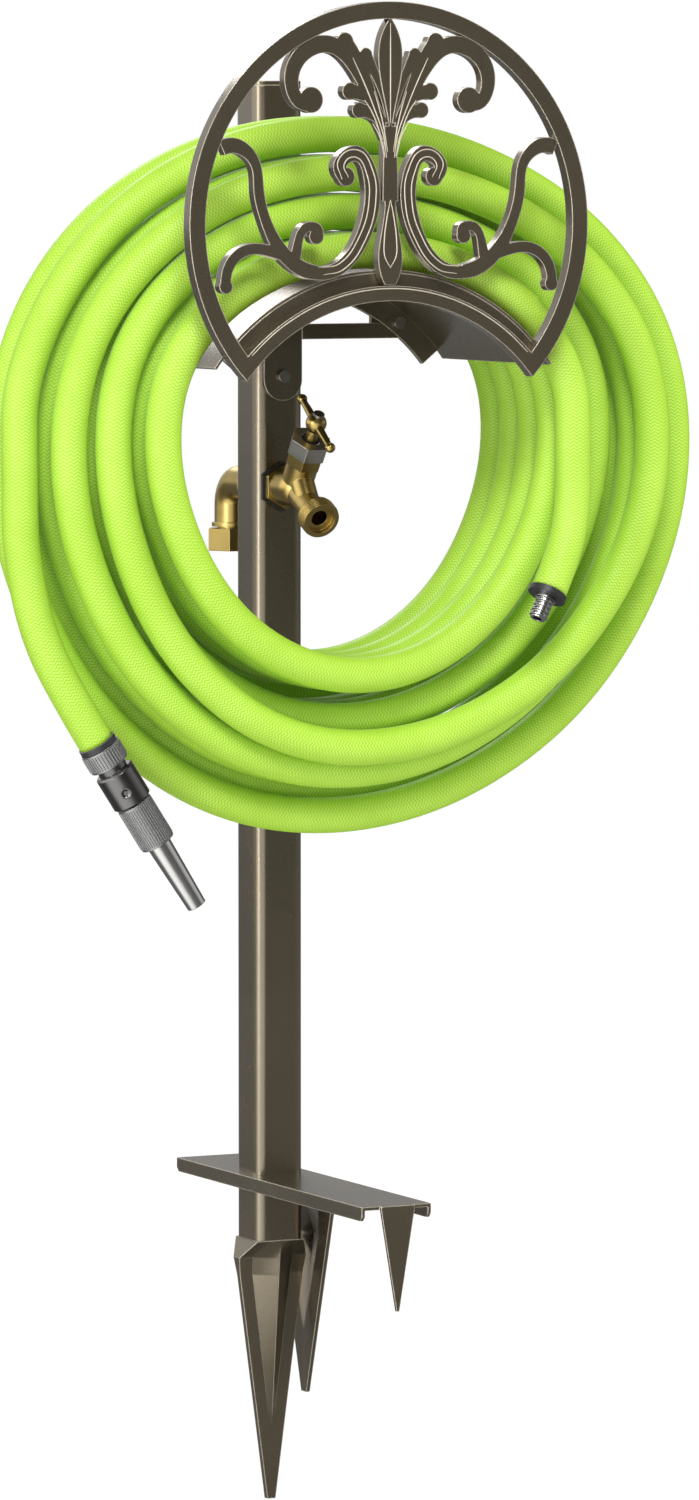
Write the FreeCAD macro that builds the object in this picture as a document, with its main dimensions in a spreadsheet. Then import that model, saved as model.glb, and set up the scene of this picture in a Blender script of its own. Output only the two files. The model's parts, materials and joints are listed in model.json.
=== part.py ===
"""A freestanding hose stand: spiked post, tap, arched saddle with a round ornament, and a hung hose.

Millimetres. Front is -Y, +X is to the right, +Z is up. The origin is on the post's axis at ground level.
"""
import FreeCAD, Part
import math
import os
import Sketcher

os.makedirs("parts", exist_ok=True)
doc = FreeCAD.newDocument("hose_stand")
sheet = doc.addObject("Spreadsheet::Sheet", "dims")
Vector = FreeCAD.Vector
UP = Vector(0, 0, 1)
nodes = {}


class Size:
    """A number together with the sheet expression that gives it."""

    def __init__(self, value, text):
        self.value = float(value)
        self.text = text

    def __float__(self):
        return self.value

    def __add__(self, other):
        return Size(self.value + float(other), f"({self.text} + {words(other)})")

    def __radd__(self, other):
        return Size(float(other) + self.value, f"({words(other)} + {self.text})")

    def __sub__(self, other):
        return Size(self.value - float(other), f"({self.text} - {words(other)})")

    def __rsub__(self, other):
        return Size(float(other) - self.value, f"({words(other)} - {self.text})")

    def __mul__(self, other):
        return Size(self.value * float(other), f"({self.text} * {words(other)})")

    def __truediv__(self, other):
        return Size(self.value / float(other), f"({self.text} / {words(other)})")

    def __neg__(self):
        return Size(-self.value, f"(0 - {self.text})")


def words(amount):
    """The text of a size or of a plain number."""
    return amount.text if isinstance(amount, Size) else repr(float(amount))


def dim(name, value):
    """Write one driving dimension into the sheet and return it."""
    dim.row += 1
    sheet.set(f"A{dim.row}", name)
    sheet.set(f"B{dim.row}", str(value))
    sheet.setAlias(f"B{dim.row}", name)
    return Size(value, f"dims.{name}")


dim.row = 0

# General clearances
weld_gap = dim("weld_gap", 0.1)
run_gap = dim("run_gap", 0.06)
free_gap = dim("free_gap", 0.4)

# Post
post_width = dim("post_width", 38.0)
post_corner = dim("post_corner", 8.5)
post_wall = dim("post_wall", 1.6)
post_top = dim("post_top", 791.0)
post_depth = dim("post_depth", 38.0)
cap_thick = dim("cap_thick", 3.0)
cap_plug = dim("cap_plug", 14.0)

# Step plate
plate_width = dim("plate_width", 54.0)
plate_thick = dim("plate_thick", 2.5)
plate_height = dim("plate_height", 10.0)
plate_front = dim("plate_front", 205.0)
plate_rear = dim("plate_rear", 101.0)
plate_trim = dim("plate_trim", 3.0)
toe_width = dim("toe_width", 26.0)
toe_length = dim("toe_length", 72.0)
toe_tip = dim("toe_tip", 2.0)

# Stakes
stake_width = dim("stake_width", 53.5)
stake_length = dim("stake_length", 190.0)
stake_shoulder = dim("stake_shoulder", 13.0)
stake_thick = dim("stake_thick", 5.0)
stake_tip = dim("stake_tip", 6.4)
ridge_width = dim("ridge_width", 32.0)
ridge_height = dim("ridge_height", 13.0)
ridge_length = dim("ridge_length", 112.0)
ridge_taper = dim("ridge_taper", 2.0)
ridge_foot = dim("ridge_foot", 2.4)
shoulder_inset = dim("shoulder_inset", 1.1)
ridge_start = dim("ridge_start", 26.0)
fin_width = dim("fin_width", 104.0)
fin_length = dim("fin_length", 152.0)
fin_thick = dim("fin_thick", 3.0)
fin_tip = dim("fin_tip", 8.0)
fin_overlap = dim("fin_overlap", 8.0)
fin_groove_width = dim("fin_groove_width", 50.0)
fin_groove_depth = dim("fin_groove_depth", 9.0)
fin_crown = dim("fin_crown", 12.8)
fin_groove_start = dim("fin_groove_start", 44.8)
fin_groove_length = dim("fin_groove_length", 70.4)

# Saddle, arches and their strip
arch_center = dim("arch_center", 501.0)
saddle_radius = dim("saddle_radius", 161.5)
saddle_thick = dim("saddle_thick", 2.0)
saddle_front = dim("saddle_front", 186.0)
saddle_angle = dim("saddle_angle", 54.0)
arch_width = dim("arch_width", 16.0)
arch_thick = dim("arch_thick", 4.0)
arch_angle = dim("arch_angle", 51.0)
strip_width = dim("strip_width", 30.0)
strip_bottom = dim("strip_bottom", 566.5)
strip_screw_low = dim("strip_screw_low", 584.0)
strip_screw_high = dim("strip_screw_high", 632.0)
tie_height = dim("tie_height", 11.0)
tie_level = dim("tie_level", 615.5)
tie_tab = dim("tie_tab", 14.0)
tie_tab_thick = dim("tie_tab_thick", 3.0)
screw_head = dim("screw_head", 9.0)
screw_head_height = dim("screw_head_height", 3.0)
screw_shank = dim("screw_shank", 5.0)
nut_across = dim("nut_across", 8.0)
ring_screw_inset = dim("ring_screw_inset", 4.0)
nut_thick = dim("nut_thick", 4.0)

# Ring ornament
ring_center = dim("ring_center", 694.0)
ring_radius = dim("ring_radius", 154.0)
ring_band = dim("ring_band", 12.0)
ring_thick = dim("ring_thick", 10.0)
band_radius = dim("band_radius", 140.0)
band_width = dim("band_width", 10.5)
scroll_thick = dim("scroll_thick", 8.0)
ring_screw_angle = dim("ring_screw_angle", 25.0)

# Tap and through pipe
pipe_level = dim("pipe_level", 505.2)
pipe_diameter = dim("pipe_diameter", 21.0)
pipe_bore = dim("pipe_bore", 14.0)
washer_across = dim("washer_across", 31.0)
washer_thick = dim("washer_thick", 3.0)
lock_across = dim("lock_across", 28.0)
lock_thick = dim("lock_thick", 5.5)
tap_socket = dim("tap_socket", 4.5)
tap_hub = dim("tap_hub", 27.0)
tap_reach = dim("tap_reach", 15.3)
stem_tilt = dim("stem_tilt", 36.0)
spout_drop = dim("spout_drop", 27.0)
barrel_diameter = dim("barrel_diameter", 23.0)
barrel_length = dim("barrel_length", 32.0)
flats_across = dim("flats_across", 23.5)
flats_length = dim("flats_length", 9.0)
spout_diameter = dim("spout_diameter", 19.0)
spout_length = dim("spout_length", 48.0)
spout_bore = dim("spout_bore", 12.0)
hose_thread = dim("hose_thread", 26.9)
hose_thread_length = dim("hose_thread_length", 11.0)
thread_recess = dim("thread_recess", 20.5)
thread_recess_depth = dim("thread_recess_depth", 4.0)
chamber_bore = dim("chamber_bore", 15.6)
seat_level = dim("seat_level", 6.5)
seat_bore = dim("seat_bore", 8.0)
inlet_passage = dim("inlet_passage", 10.0)
spout_passage = dim("spout_passage", 8.0)
spout_web = dim("spout_web", 17.0)
bonnet_across = dim("bonnet_across", 26.0)
bonnet_thick = dim("bonnet_thick", 12.0)
bonnet_spigot = dim("bonnet_spigot", 9.0)
packing_bore = dim("packing_bore", 14.0)
packing_thick = dim("packing_thick", 4.0)
stem_diameter = dim("stem_diameter", 9.0)
stem_top = dim("stem_top", 58.0)
stem_foot = dim("stem_foot", 13.0)
stem_foot_height = dim("stem_foot_height", 4.0)
seat_washer_thick = dim("seat_washer_thick", 3.0)
knob_diameter = dim("knob_diameter", 15.0)
handle_reach = dim("handle_reach", 28.0)
handle_root = dim("handle_root", 6.4)
handle_end = dim("handle_end", 4.6)
handle_ball = dim("handle_ball", 7.4)
handle_screw_head = dim("handle_screw_head", 8.0)
handle_screw_height = dim("handle_screw_height", 2.2)
small_shank = dim("small_shank", 3.4)

# Rear elbow and swivel inlet
elbow_reach = dim("elbow_reach", 63.0)
elbow_diameter = dim("elbow_diameter", 25.0)
elbow_bend = dim("elbow_bend", 16.0)
elbow_bore = dim("elbow_bore", 14.0)
elbow_start = dim("elbow_start", 24.0)
elbow_pipe_seat = dim("elbow_pipe_seat", 14.0)
bead_diameter = dim("bead_diameter", 29.0)
bead_level = dim("bead_level", 473.0)
bead_height = dim("bead_height", 3.0)
tail_diameter = dim("tail_diameter", 20.6)
tail_flange = dim("tail_flange", 24.6)
tail_flange_height = dim("tail_flange_height", 2.5)
nut_gap = dim("nut_gap", 1.4)
nut_height = dim("nut_height", 16.0)
nut_lip = dim("nut_lip", 3.0)
inlet_across = dim("inlet_across", 32.0)
inlet_bore = dim("inlet_bore", 25.5)
inlet_relief = dim("inlet_relief", 26.6)
inlet_washer_bore = dim("inlet_washer_bore", 15.0)
inlet_washer_thick = dim("inlet_washer_thick", 2.2)

# Hose and its winding
hose_diameter = dim("hose_diameter", 25.5)
hose_bore = dim("hose_bore", 12.0)
layer_rise = dim("layer_rise", 26.9)
layer_widen = dim("layer_widen", 29.2)
right_widen = dim("right_widen", 40.0)
layer_drop = dim("layer_drop", 34.5)
layer_sink = dim("layer_sink", 5.0)
loop_half_width = dim("loop_half_width", 156.0)
loop_shoulder = dim("loop_shoulder", 120.0)
loop_bottom = dim("loop_bottom", 378.0)
loop_pitch = dim("loop_pitch", 28.8)
loop_first = dim("loop_first", 170.6)
turn_back = dim("turn_back", 3.0)

# Hose fittings and nozzle
ferrule_diameter = dim("ferrule_diameter", 27.5)
ferrule_length = dim("ferrule_length", 4.0)
stub_base = dim("stub_base", 15.0)
stub_base_height = dim("stub_base_height", 2.5)
stub_root = dim("stub_root", 10.5)
stub_barb = dim("stub_barb", 13.0)
barb_pitch = dim("barb_pitch", 3.8)
stub_bore = dim("stub_bore", 7.0)
collar_diameter = dim("collar_diameter", 28.5)
collar_length = dim("collar_length", 14.0)
collar_lip = dim("collar_lip", 5.0)
collar_stem = dim("collar_stem", 17.0)
collar_flange = dim("collar_flange", 22.0)
collar_flange_height = dim("collar_flange_height", 2.0)
seal_thick = dim("seal_thick", 2.0)
nozzle_neck = dim("nozzle_neck", 24.0)
nozzle_ring = dim("nozzle_ring", 21.5)
nozzle_ring_length = dim("nozzle_ring_length", 5.0)
nozzle_belly = dim("nozzle_belly", 28.5)
nozzle_chamfer = dim("nozzle_chamfer", 1.5)
nozzle_body_length = dim("nozzle_body_length", 27.0)
nozzle_core = dim("nozzle_core", 14.0)
sleeve_diameter = dim("sleeve_diameter", 25.0)
sleeve_length = dim("sleeve_length", 34.0)
tip_diameter = dim("tip_diameter", 17.5)
tip_end = dim("tip_end", 14.0)
tip_length = dim("tip_length", 54.0)
tip_bore = dim("tip_bore", 9.0)
doc.recompute()


def bind(item, name, amount):
    """Tie one property to the sheet, or set it where the amount is a plain number."""
    if isinstance(amount, Size):
        item.setExpression(name, amount.text)
    else:
        setattr(item, name, amount)


def move(item, x=0.0, y=0.0, z=0.0):
    """Tie a placement's base to the sheet."""
    for letter, amount in (("x", x), ("y", y), ("z", z)):
        if isinstance(amount, Size):
            item.setExpression("Placement.Base." + letter, amount.text)
        elif amount:
            setattr(item.Placement.Base, letter, amount)
    return item


def box(name, x, y, z):
    """A block between pairs of coordinates."""
    item = doc.addObject("Part::Box", name)
    bind(item, "Length", x[1] - x[0])
    bind(item, "Width", y[1] - y[0])
    bind(item, "Height", z[1] - z[0])
    return move(item, x[0], y[0], z[0])


TURN = {"x": FreeCAD.Rotation(Vector(0, 1, 0), 90), "y": FreeCAD.Rotation(Vector(1, 0, 0), -90),
        "z": FreeCAD.Rotation()}


def rod(name, diameter, length, axis="z", x=0.0, y=0.0, z=0.0):
    """A cylinder that runs from a point along one axis of the frame."""
    item = doc.addObject("Part::Cylinder", name)
    bind(item, "Radius", diameter / 2)
    bind(item, "Height", length)
    item.Placement = FreeCAD.Placement(Vector(float(x), float(y), float(z)), TURN[axis])
    return move(item, x, y, z)


def local_rod(name, frame, diameter, length, start=0.0):
    """A cylinder along a tilted frame's own Z axis."""
    item = doc.addObject("Part::Cylinder", name)
    bind(item, "Radius", diameter / 2)
    bind(item, "Height", length)
    item.Placement = frame.multiply(FreeCAD.Placement(UP * float(start), FreeCAD.Rotation()))
    return item


def local_hexagon(name, frame, across, length, start=0.0):
    """A hexagonal block along a tilted frame's own Z axis."""
    item = doc.addObject("Part::Prism", name)
    item.Polygon = 6
    bind(item, "Circumradius", across / math.sqrt(3))
    bind(item, "Height", length)
    item.Placement = frame.multiply(FreeCAD.Placement(UP * float(start), FreeCAD.Rotation()))
    return item


def ball(name, diameter, place):
    """A sphere at a point."""
    item = doc.addObject("Part::Sphere", name)
    bind(item, "Radius", diameter / 2)
    item.Placement.Base = place
    return item


def fuse(name, *items):
    """One solid out of several."""
    item = doc.addObject("Part::MultiFuse", name)
    item.Shapes = list(items)
    item.Refine = True
    return item


def cut(name, base, *tools):
    """A base with each of the tools taken away."""
    for count, tool in enumerate(tools):
        item = doc.addObject("Part::Cut", f"{name}_{count}")
        item.Base = base
        item.Tool = tool
        base = item
    base.Refine = True
    return base


def common(name, first, second):
    """What two solids share."""
    item = doc.addObject("Part::Common", name)
    item.Base = first
    item.Tool = second
    return item


def group(name, *items):
    """Separate solids kept together as one node."""
    item = doc.addObject("Part::Compound", name)
    item.Links = list(items)
    return item


def node(label, item):
    """Name a finished sub-part."""
    item.Label = label
    nodes[label] = item
    return item


def origin_plane(body, role):
    """One of a body's own origin planes."""
    return next(item for item in body.Origin.OriginFeatures if item.Role == role)


def outline(body, name, plane, corners):
    """A closed sketch of straight lines whose corners are all tied to the sheet."""
    sketch = body.newObject("Sketcher::SketchObject", name)
    sketch.AttachmentSupport = (origin_plane(body, plane), [""])
    sketch.MapMode = "FlatFace"
    points = [Vector(float(across), float(along), 0) for across, along in corners]
    for first, second in zip(points, points[1:] + points[:1]):
        sketch.addGeometry(Part.LineSegment(first, second))
    last = len(points) - 1
    for edge in range(len(points)):
        sketch.addConstraint(Sketcher.Constraint("Coincident", edge, 2, 0 if edge == last else edge + 1, 1))
    for edge, corner in enumerate(corners):
        for kind, amount, axis in (("DistanceX", corner[0], -2), ("DistanceY", corner[1], -1)):
            if abs(float(amount)) < 1e-9:
                sketch.addConstraint(Sketcher.Constraint("PointOnObject", edge, 1, axis))
                continue
            index = sketch.addConstraint(Sketcher.Constraint(kind, -1, 1, edge, 1, float(amount)))
            if isinstance(amount, Size):
                sketch.setExpression(f"Constraints[{index}]", amount.text)
    return sketch


def turned(label, corners, frame=None):
    """A turned piece: a profile of radii and heights, revolved about its own Z axis."""
    body = doc.addObject("PartDesign::Body", label + "_body")
    sketch = outline(body, label + "_profile", "XZ_Plane", corners)
    spin = body.newObject("PartDesign::Revolution", label + "_spin")
    spin.Profile = sketch
    spin.ReferenceAxis = (sketch, ["V_Axis"])
    spin.Angle = 360
    if frame:
        body.Placement = frame
    return body


def padded(label, plane, corners, length, midplane=False):
    """A flat piece: an outline padded square to its plane."""
    body = doc.addObject("PartDesign::Body", label + "_body")
    sketch = outline(body, label + "_outline", plane, corners)
    pad = body.newObject("PartDesign::Pad", label + "_pad")
    pad.Profile = sketch
    pad.SideType = "Symmetric" if midplane else "One side"
    bind(pad, "Length", length)
    return body


def rounded_bar(name, width, corner, bottom, top):
    """A square bar with rounded upright edges, standing on the post's axis."""
    half = width / 2
    corners = [(-half, -half), (half, -half), (half, half), (-half, half)]
    body = padded(name, "XY_Plane", corners, top - bottom)
    move(body, z=bottom)
    doc.recompute()
    pad = body.Tip
    upright = [f"Edge{index}" for index, edge in enumerate(pad.Shape.Edges, start=1)
               if abs(edge.tangentAt(edge.FirstParameter).z) > 0.99]
    fillet = body.newObject("PartDesign::Fillet", name + "_fillet")
    fillet.Base = (pad, upright)
    bind(fillet, "Radius", corner)
    return body


# Post and its cap
post_half = post_width / 2
post_inner = post_width - post_wall * 2
post_bottom = -post_depth
strip_front = post_half + arch_thick
post_outer = rounded_bar("post_outer", post_width, post_corner, post_bottom, post_top)
post_hollow = rounded_bar("post_hollow", post_inner, post_corner - post_wall, post_bottom - 1, post_top + 1)
pipe_hole = rod("pipe_hole", pipe_diameter + run_gap * 2, post_width + 2, "y", y=-post_half - 1,
                z=pipe_level)
screw_clear = screw_shank + run_gap * 2
STRIP_SCREW_LEVELS = (strip_screw_low, strip_screw_high)
screw_holes = [rod(f"strip_hole_{index}", screw_clear, post_half, "y", y=-post_half - 1, z=level)
               for index, level in enumerate(STRIP_SCREW_LEVELS)]
node("post_tube", cut("post_tube", post_outer, post_hollow, pipe_hole, *screw_holes))

cap_head = rounded_bar("cap_head", post_width, post_corner, post_top, post_top + cap_thick)
cap_core = rounded_bar("cap_core", post_inner - weld_gap * 2, post_corner - post_wall, post_top - cap_plug,
                       post_top + cap_thick / 2)
cap_hollow = rounded_bar("cap_hollow", post_inner - weld_gap * 2 - post_wall * 2,
                         post_corner - post_wall * 2, post_top - cap_plug - 1, post_top)
node("post_cap", cut("post_cap", fuse("cap_solid", cap_head, cap_core), cap_hollow))


# Stakes: flat blades, the main one with a ridge on both faces that fades towards the tip
def wire(corners):
    """A closed wire through points."""
    return Part.makePolygon(corners + corners[:1])


def blade_section(level, width, thick, middle, front_rise, back_rise):
    """A flat section whose middle is raised on its faces, as ten corners round the blade."""
    across = (-width / 2, -middle / 2, 0.0, middle / 2, width / 2)
    front = [Vector(x, -thick / 2, level) for x in across]
    back = [Vector(x, thick / 2, level) for x in across]
    front[2].y -= front_rise
    back[2].y += back_rise
    return wire(front + back[::-1])


def ridged_section(level, width, thick, ridge, height):
    """A blade with the same ridge on both faces."""
    return blade_section(level, width, thick, ridge, height, height)


def pressed_section(level, width, thick, fold, depth):
    """A blade with a V pressed through its middle."""
    return blade_section(level, width, thick, fold, depth, -depth)


def square_section(level, width, middle):
    """The post's square end, as ten corners in the blade's order."""
    half = width / 2
    across = (-half, -middle / 2, 0.0, middle / 2, half)
    front = [Vector(x, -half, level) for x in across]
    back = [Vector(x, half, level) for x in across]
    return wire(front + back[::-1])


def loft(name, sections):
    """A ruled solid through closed wires."""
    item = doc.addObject("Part::Feature", name)
    item.Shape = Part.makeLoft(sections, True, True)
    return item


def stake_width_at(drop):
    """The blade's width at a distance below the shoulder."""
    share = (drop - float(stake_shoulder)) / (float(stake_length) - float(stake_shoulder))
    return float(stake_width) + (float(stake_tip) - float(stake_width)) * share


stake_top = -float(post_depth)
ridge_end = float(ridge_start + ridge_length)
node("ground_stake", loft("ground_stake", [
    square_section(stake_top, float(post_width - shoulder_inset), float(post_width) / 2),
    ridged_section(stake_top - float(stake_shoulder), float(stake_width), float(stake_thick) * 2,
                   float(ridge_width), float(ridge_height) - 1),
    ridged_section(stake_top - float(ridge_start), stake_width_at(float(ridge_start)), float(stake_thick),
                   float(ridge_width - ridge_taper), float(ridge_height)),
    ridged_section(stake_top - ridge_end, stake_width_at(ridge_end), float(stake_thick),
                   float(ridge_foot), 0.0),
    ridged_section(stake_top - float(stake_length), float(stake_tip), float(stake_thick),
                   float(ridge_foot), 0.0)]))

# The second spike is welded to the outside of the plate's right flange
fin_top = float(fin_overlap)
fin_drop = float(fin_length) + fin_top
fin_shoulder = fin_top - float(fin_crown)
fin_groove_top = fin_top - float(fin_groove_start)
fin_groove_end = fin_groove_top - float(fin_groove_length)


def fin_width_at(level):
    """The second spike's width at a height, between its crown and its tip."""
    share = (fin_top - level) / fin_drop
    return float(fin_width) + (float(fin_tip) - float(fin_width)) * share


fin = loft("side_spike", [
    pressed_section(fin_top, float(fin_width), float(fin_thick), float(fin_groove_width), 0.0),
    pressed_section(fin_shoulder, fin_width_at(fin_shoulder), float(fin_thick),
                    float(fin_groove_width), 0.0),
    pressed_section(fin_groove_top, fin_width_at(fin_groove_top), float(fin_thick),
                    float(fin_groove_width - ridge_taper), float(fin_groove_depth)),
    pressed_section(fin_groove_end, fin_width_at(fin_groove_end), float(fin_thick), float(ridge_foot), 0.0),
    pressed_section(-float(fin_length), float(fin_tip), float(fin_thick), float(ridge_foot), 0.0)])
fin.Placement = FreeCAD.Placement(Vector(float(plate_width) / 2 + float(fin_thick) / 2, 0, 0),
                                  FreeCAD.Rotation(UP, 90))
node("side_spike", fin)

# Step plate: a channel with its flanges down, slotted round the post, and a toe bent down in front
plate_half = plate_width / 2
plate_block = padded("plate_block", "YZ_Plane", [
    (-plate_front, plate_height), (-plate_front, plate_trim), (plate_trim - plate_front, 0.0),
    (plate_rear - plate_trim, 0.0), (plate_rear, plate_trim), (plate_rear, plate_height)], plate_width, True)
plate_hollow = box("plate_hollow", (plate_thick - plate_half, plate_half - plate_thick),
                   (-plate_front - 1, plate_rear + 1), (-1.0, plate_height - plate_thick))
plate_slot = rounded_bar("plate_slot", post_width + weld_gap * 2, post_corner, -1.0, plate_height + 1)
toe_half = toe_width / 2
toe_root = plate_height - plate_thick
toe_end = toe_root - toe_length
toe = padded("toe", "XZ_Plane", [
    (-toe_half, plate_height), (-toe_half, toe_root), (-toe_tip / 2, toe_end), (toe_tip / 2, toe_end),
    (toe_half, toe_root), (toe_half, plate_height)], plate_thick)
move(toe, y=-plate_front)
node("step_plate", fuse("step_plate", cut("plate_channel", plate_block, plate_hollow, plate_slot), toe))


# Arches, saddle and hanger strip
def sector(name, outer, inner, half_angle, start, length):
    """Part of a ring about the arch's axis, open below, that runs along Y."""
    angle = float(half_angle)
    item = doc.addObject("Part::Cylinder", name + "_outer")
    bind(item, "Radius", outer)
    bind(item, "Height", length)
    bind(item, "Angle", half_angle * 2)
    turn = TURN["y"].multiply(FreeCAD.Rotation(UP, -90 - angle))
    item.Placement = FreeCAD.Placement(Vector(0, float(start), float(arch_center)), turn)
    hole = rod(name + "_inner", inner * 2, length + 2, "y", y=start - 1, z=arch_center)
    return cut(name, item, hole)


saddle_inner = saddle_radius - saddle_thick
arch_outer = saddle_inner - weld_gap
arch_inner = arch_outer - arch_width
saddle_rear = post_half + free_gap
arch_middle = (arch_outer + arch_inner) / 2
saddle_length = saddle_front - saddle_rear
node("saddle", sector("saddle", saddle_radius, saddle_inner, saddle_angle, -saddle_front, saddle_length))


def around(radius, angle):
    """A point on an arch, by its angle from the top."""
    turn = math.radians(float(angle))
    return float(radius) * math.sin(turn), float(arch_center) + float(radius) * math.cos(turn)


tie_screw_rise = float(tie_level - arch_center + tie_height / 2)
tie_screw_angle = math.degrees(math.acos(tie_screw_rise / float(arch_middle)))
rear_holes = []
front_holes = []
for side in (-1, 1):
    across, height = around(arch_middle, side * tie_screw_angle)
    rear_holes.append(rod(f"arch_hole_{side + 1}", screw_clear, arch_thick + 2, "y",
                          x=across, y=-strip_front - 1, z=height))
    across, height = around(arch_inner + ring_screw_inset, side * float(ring_screw_angle))
    front_holes.append(rod(f"ring_hole_{side + 1}", screw_clear, arch_thick + 2, "y",
                           x=across, y=-saddle_front - 1, z=height))
rear_blank = sector("rear_blank", arch_outer, arch_inner, arch_angle, -strip_front, arch_thick)
node("rear_arch", cut("rear_arch", rear_blank, *rear_holes))
front_blank = sector("front_blank", arch_outer, arch_inner, arch_angle, -saddle_front, arch_thick)
node("front_arch", cut("front_arch", front_blank, *front_holes))

strip_half = strip_width / 2
strip_block = box("strip_block", (-strip_half, strip_half), (-strip_front, -post_half),
                  (strip_bottom + strip_half, arch_center + arch_inner))
strip_end = rod("strip_end", strip_width, arch_thick, "y", y=-strip_front, z=strip_bottom + strip_half)
under_arch = rod("under_arch", (arch_inner - weld_gap) * 2, arch_thick + 2, "y",
                 y=-strip_front - 1, z=arch_center)
strip_blank = common("strip_blank", fuse("strip_solid", strip_block, strip_end), under_arch)
strip_holes = [rod(f"strip_screw_hole_{index}", screw_clear, arch_thick + 2, "y",
                   y=-strip_front - 1, z=level) for index, level in enumerate(STRIP_SCREW_LEVELS)]
node("hanger_strip", cut("hanger_strip", strip_blank, *strip_holes))

# Tie bars: each runs from the strip to a leg of the arch, with a tab lapped behind the leg
tie_bottom = tie_level - tie_height / 2
tie_top = tie_level + tie_height / 2
ties = []
for side in (-1, 1):
    across, height = around(arch_middle, side * tie_screw_angle)
    bar = box(f"tie_bar_{side + 1}", sorted((strip_half * side, arch_inner * side), key=float),
              (-strip_front, -post_half), (tie_bottom, tie_top))
    reach = rod(f"tie_reach_{side + 1}", (arch_inner - weld_gap) * 2, arch_thick + 2, "y",
                y=-strip_front - 1, z=arch_center)
    tab_ends = sorted((across + side * float(tie_tab) / 2, side * float(arch_inner) / 2))
    tab = box(f"tie_tab_{side + 1}", tab_ends,
              (-post_half, tie_tab_thick - post_half), (tie_bottom, tie_top + tie_tab / 2))
    hole = rod(f"tie_hole_{side + 1}", screw_clear, tie_tab_thick + 2, "y",
               x=across, y=-post_half - 1, z=height)
    trimmed = common(f"tie_bar_cut_{side + 1}", bar, reach)
    ties.append(cut(f"tie_{side + 1}", fuse(f"tie_solid_{side + 1}", trimmed, tab), hole))
node("tie_bars", group("tie_bars", *ties))


def screw(label, x, y, z, grip, facing=-1):
    """A pan-head screw along Y whose head sits at y and whose shank runs the other way."""
    head = rod(label + "_head", screw_head, screw_head_height, "y", x=x, z=z,
               y=y - screw_head_height if facing < 0 else y)
    shank = rod(label + "_shank", screw_shank, grip + 1, "y", x=x, z=z, y=y - 1 if facing < 0 else y - grip)
    return fuse(label, head, shank)


node("strip_screws", group("strip_screws", *[
    screw(f"strip_screw_{index}", 0.0, -strip_front, level, arch_thick + post_wall + 3)
    for index, level in enumerate(STRIP_SCREW_LEVELS)]))
arch_screws = []
arch_nuts = []
ring_screws = []
for side in (-1, 1):
    across, height = around(arch_middle, side * tie_screw_angle)
    arch_screws.append(screw(f"arch_screw_{side + 1}", across, -strip_front, height,
                             arch_thick + tie_tab_thick + nut_thick))
    place = FreeCAD.Placement(Vector(across, float(tie_tab_thick - post_half), height), TURN["y"])
    nut = local_hexagon(f"arch_nut_{side + 1}", place, nut_across, nut_thick)
    nut_hole = local_rod(f"arch_nut_hole_{side + 1}", place, screw_clear, nut_thick + 2, -1)
    arch_nuts.append(cut(f"arch_nut_cut_{side + 1}", nut, nut_hole))
    across, height = around(arch_inner + ring_screw_inset, side * float(ring_screw_angle))
    ring_screws.append(screw(f"ring_screw_{side + 1}", across, arch_thick - saddle_front, height,
                             arch_thick + ring_thick / 2, 1))
node("arch_screws", group("arch_screws", *arch_screws))
node("arch_nuts", group("arch_nuts", *arch_nuts))
node("ring_screws", group("ring_screws", *ring_screws))

# Ring ornament: a round band closed below by a concave band over the saddle's mouth
ring_back = -saddle_front
ring_front = ring_back - ring_thick
ring_inner = ring_radius - ring_band


def disc(name, radius, level, extra=0.0):
    """A round plate through the ring's thickness."""
    return rod(name, radius * 2, ring_thick + extra * 2, "y", y=ring_front - extra, z=level)


round_band = cut("round_band", disc("ring_disc", ring_radius, ring_center),
                 disc("ring_hole", ring_inner, ring_center, 1))
mouth_disc = common("mouth_disc", disc("mouth_outer", band_radius + band_width, arch_center),
                    disc("mouth_limit", ring_radius, ring_center, 1))
mouth_band = cut("mouth_band", mouth_disc, disc("mouth_hole", band_radius, arch_center, 1))
ring_open = cut("ring_open", round_band, disc("ring_mouth", band_radius, arch_center, 1))
screw_seats = []
for side in (-1, 1):
    across, height = around(arch_inner + ring_screw_inset, side * float(ring_screw_angle))
    screw_seats.append(rod(f"ring_seat_{side + 1}", screw_clear, ring_thick / 2 + 2, "y",
                           x=across, y=ring_back - ring_thick / 2 - 1, z=height))
node("front_ring", cut("front_ring", fuse("ring_whole", ring_open, mouth_band), *screw_seats))


# Scrollwork, in millimetres from the ring's centre: across, up, stroke width
UPPER_SCROLL = [(3, 58, 4), (14, 84, 8), (27, 108, 10), (46, 124, 12), (66, 119, 12), (76, 101, 11),
                (70, 85, 10), (60, 84, 9)]
FEATHER_LONG = [(2, 60, 4), (13, 88, 6), (24, 112, 8), (35, 126, 11)]
FEATHER_SHORT = [(1, 70, 4), (10, 100, 6), (19, 117, 9)]
LOBE_UPPER = [(5, 70, 4), (18, 88, 8), (31, 92, 11)]
LOBE_LOWER = [(4, 60, 4), (14, 76, 8), (24, 79, 10)]
INNER_SCROLL = [(60, -33, 9), (38, -29, 10), (21, -8, 11), (14, 16, 12), (16, 36, 11), (26, 49, 11),
                (38, 43, 10), (35, 32, 9)]
RISING_SCROLL = [(56, -33, 10), (72, -28, 11), (86, -15, 10), (96, 4, 8), (101, 24, 8), (104, 43, 8),
                 (114, 53, 10), (129, 53, 11)]
HOOK_SCROLL = [(74, -26, 7), (71, -12, 7), (65, -2, 7), (57, -2, 7), (56, -9, 7)]
TAIL_SCROLL = [(82, -21, 8), (96, -17, 8), (110, -17, 8), (121, -24, 8), (126, -36, 8), (126, -43, 8)]
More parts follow.
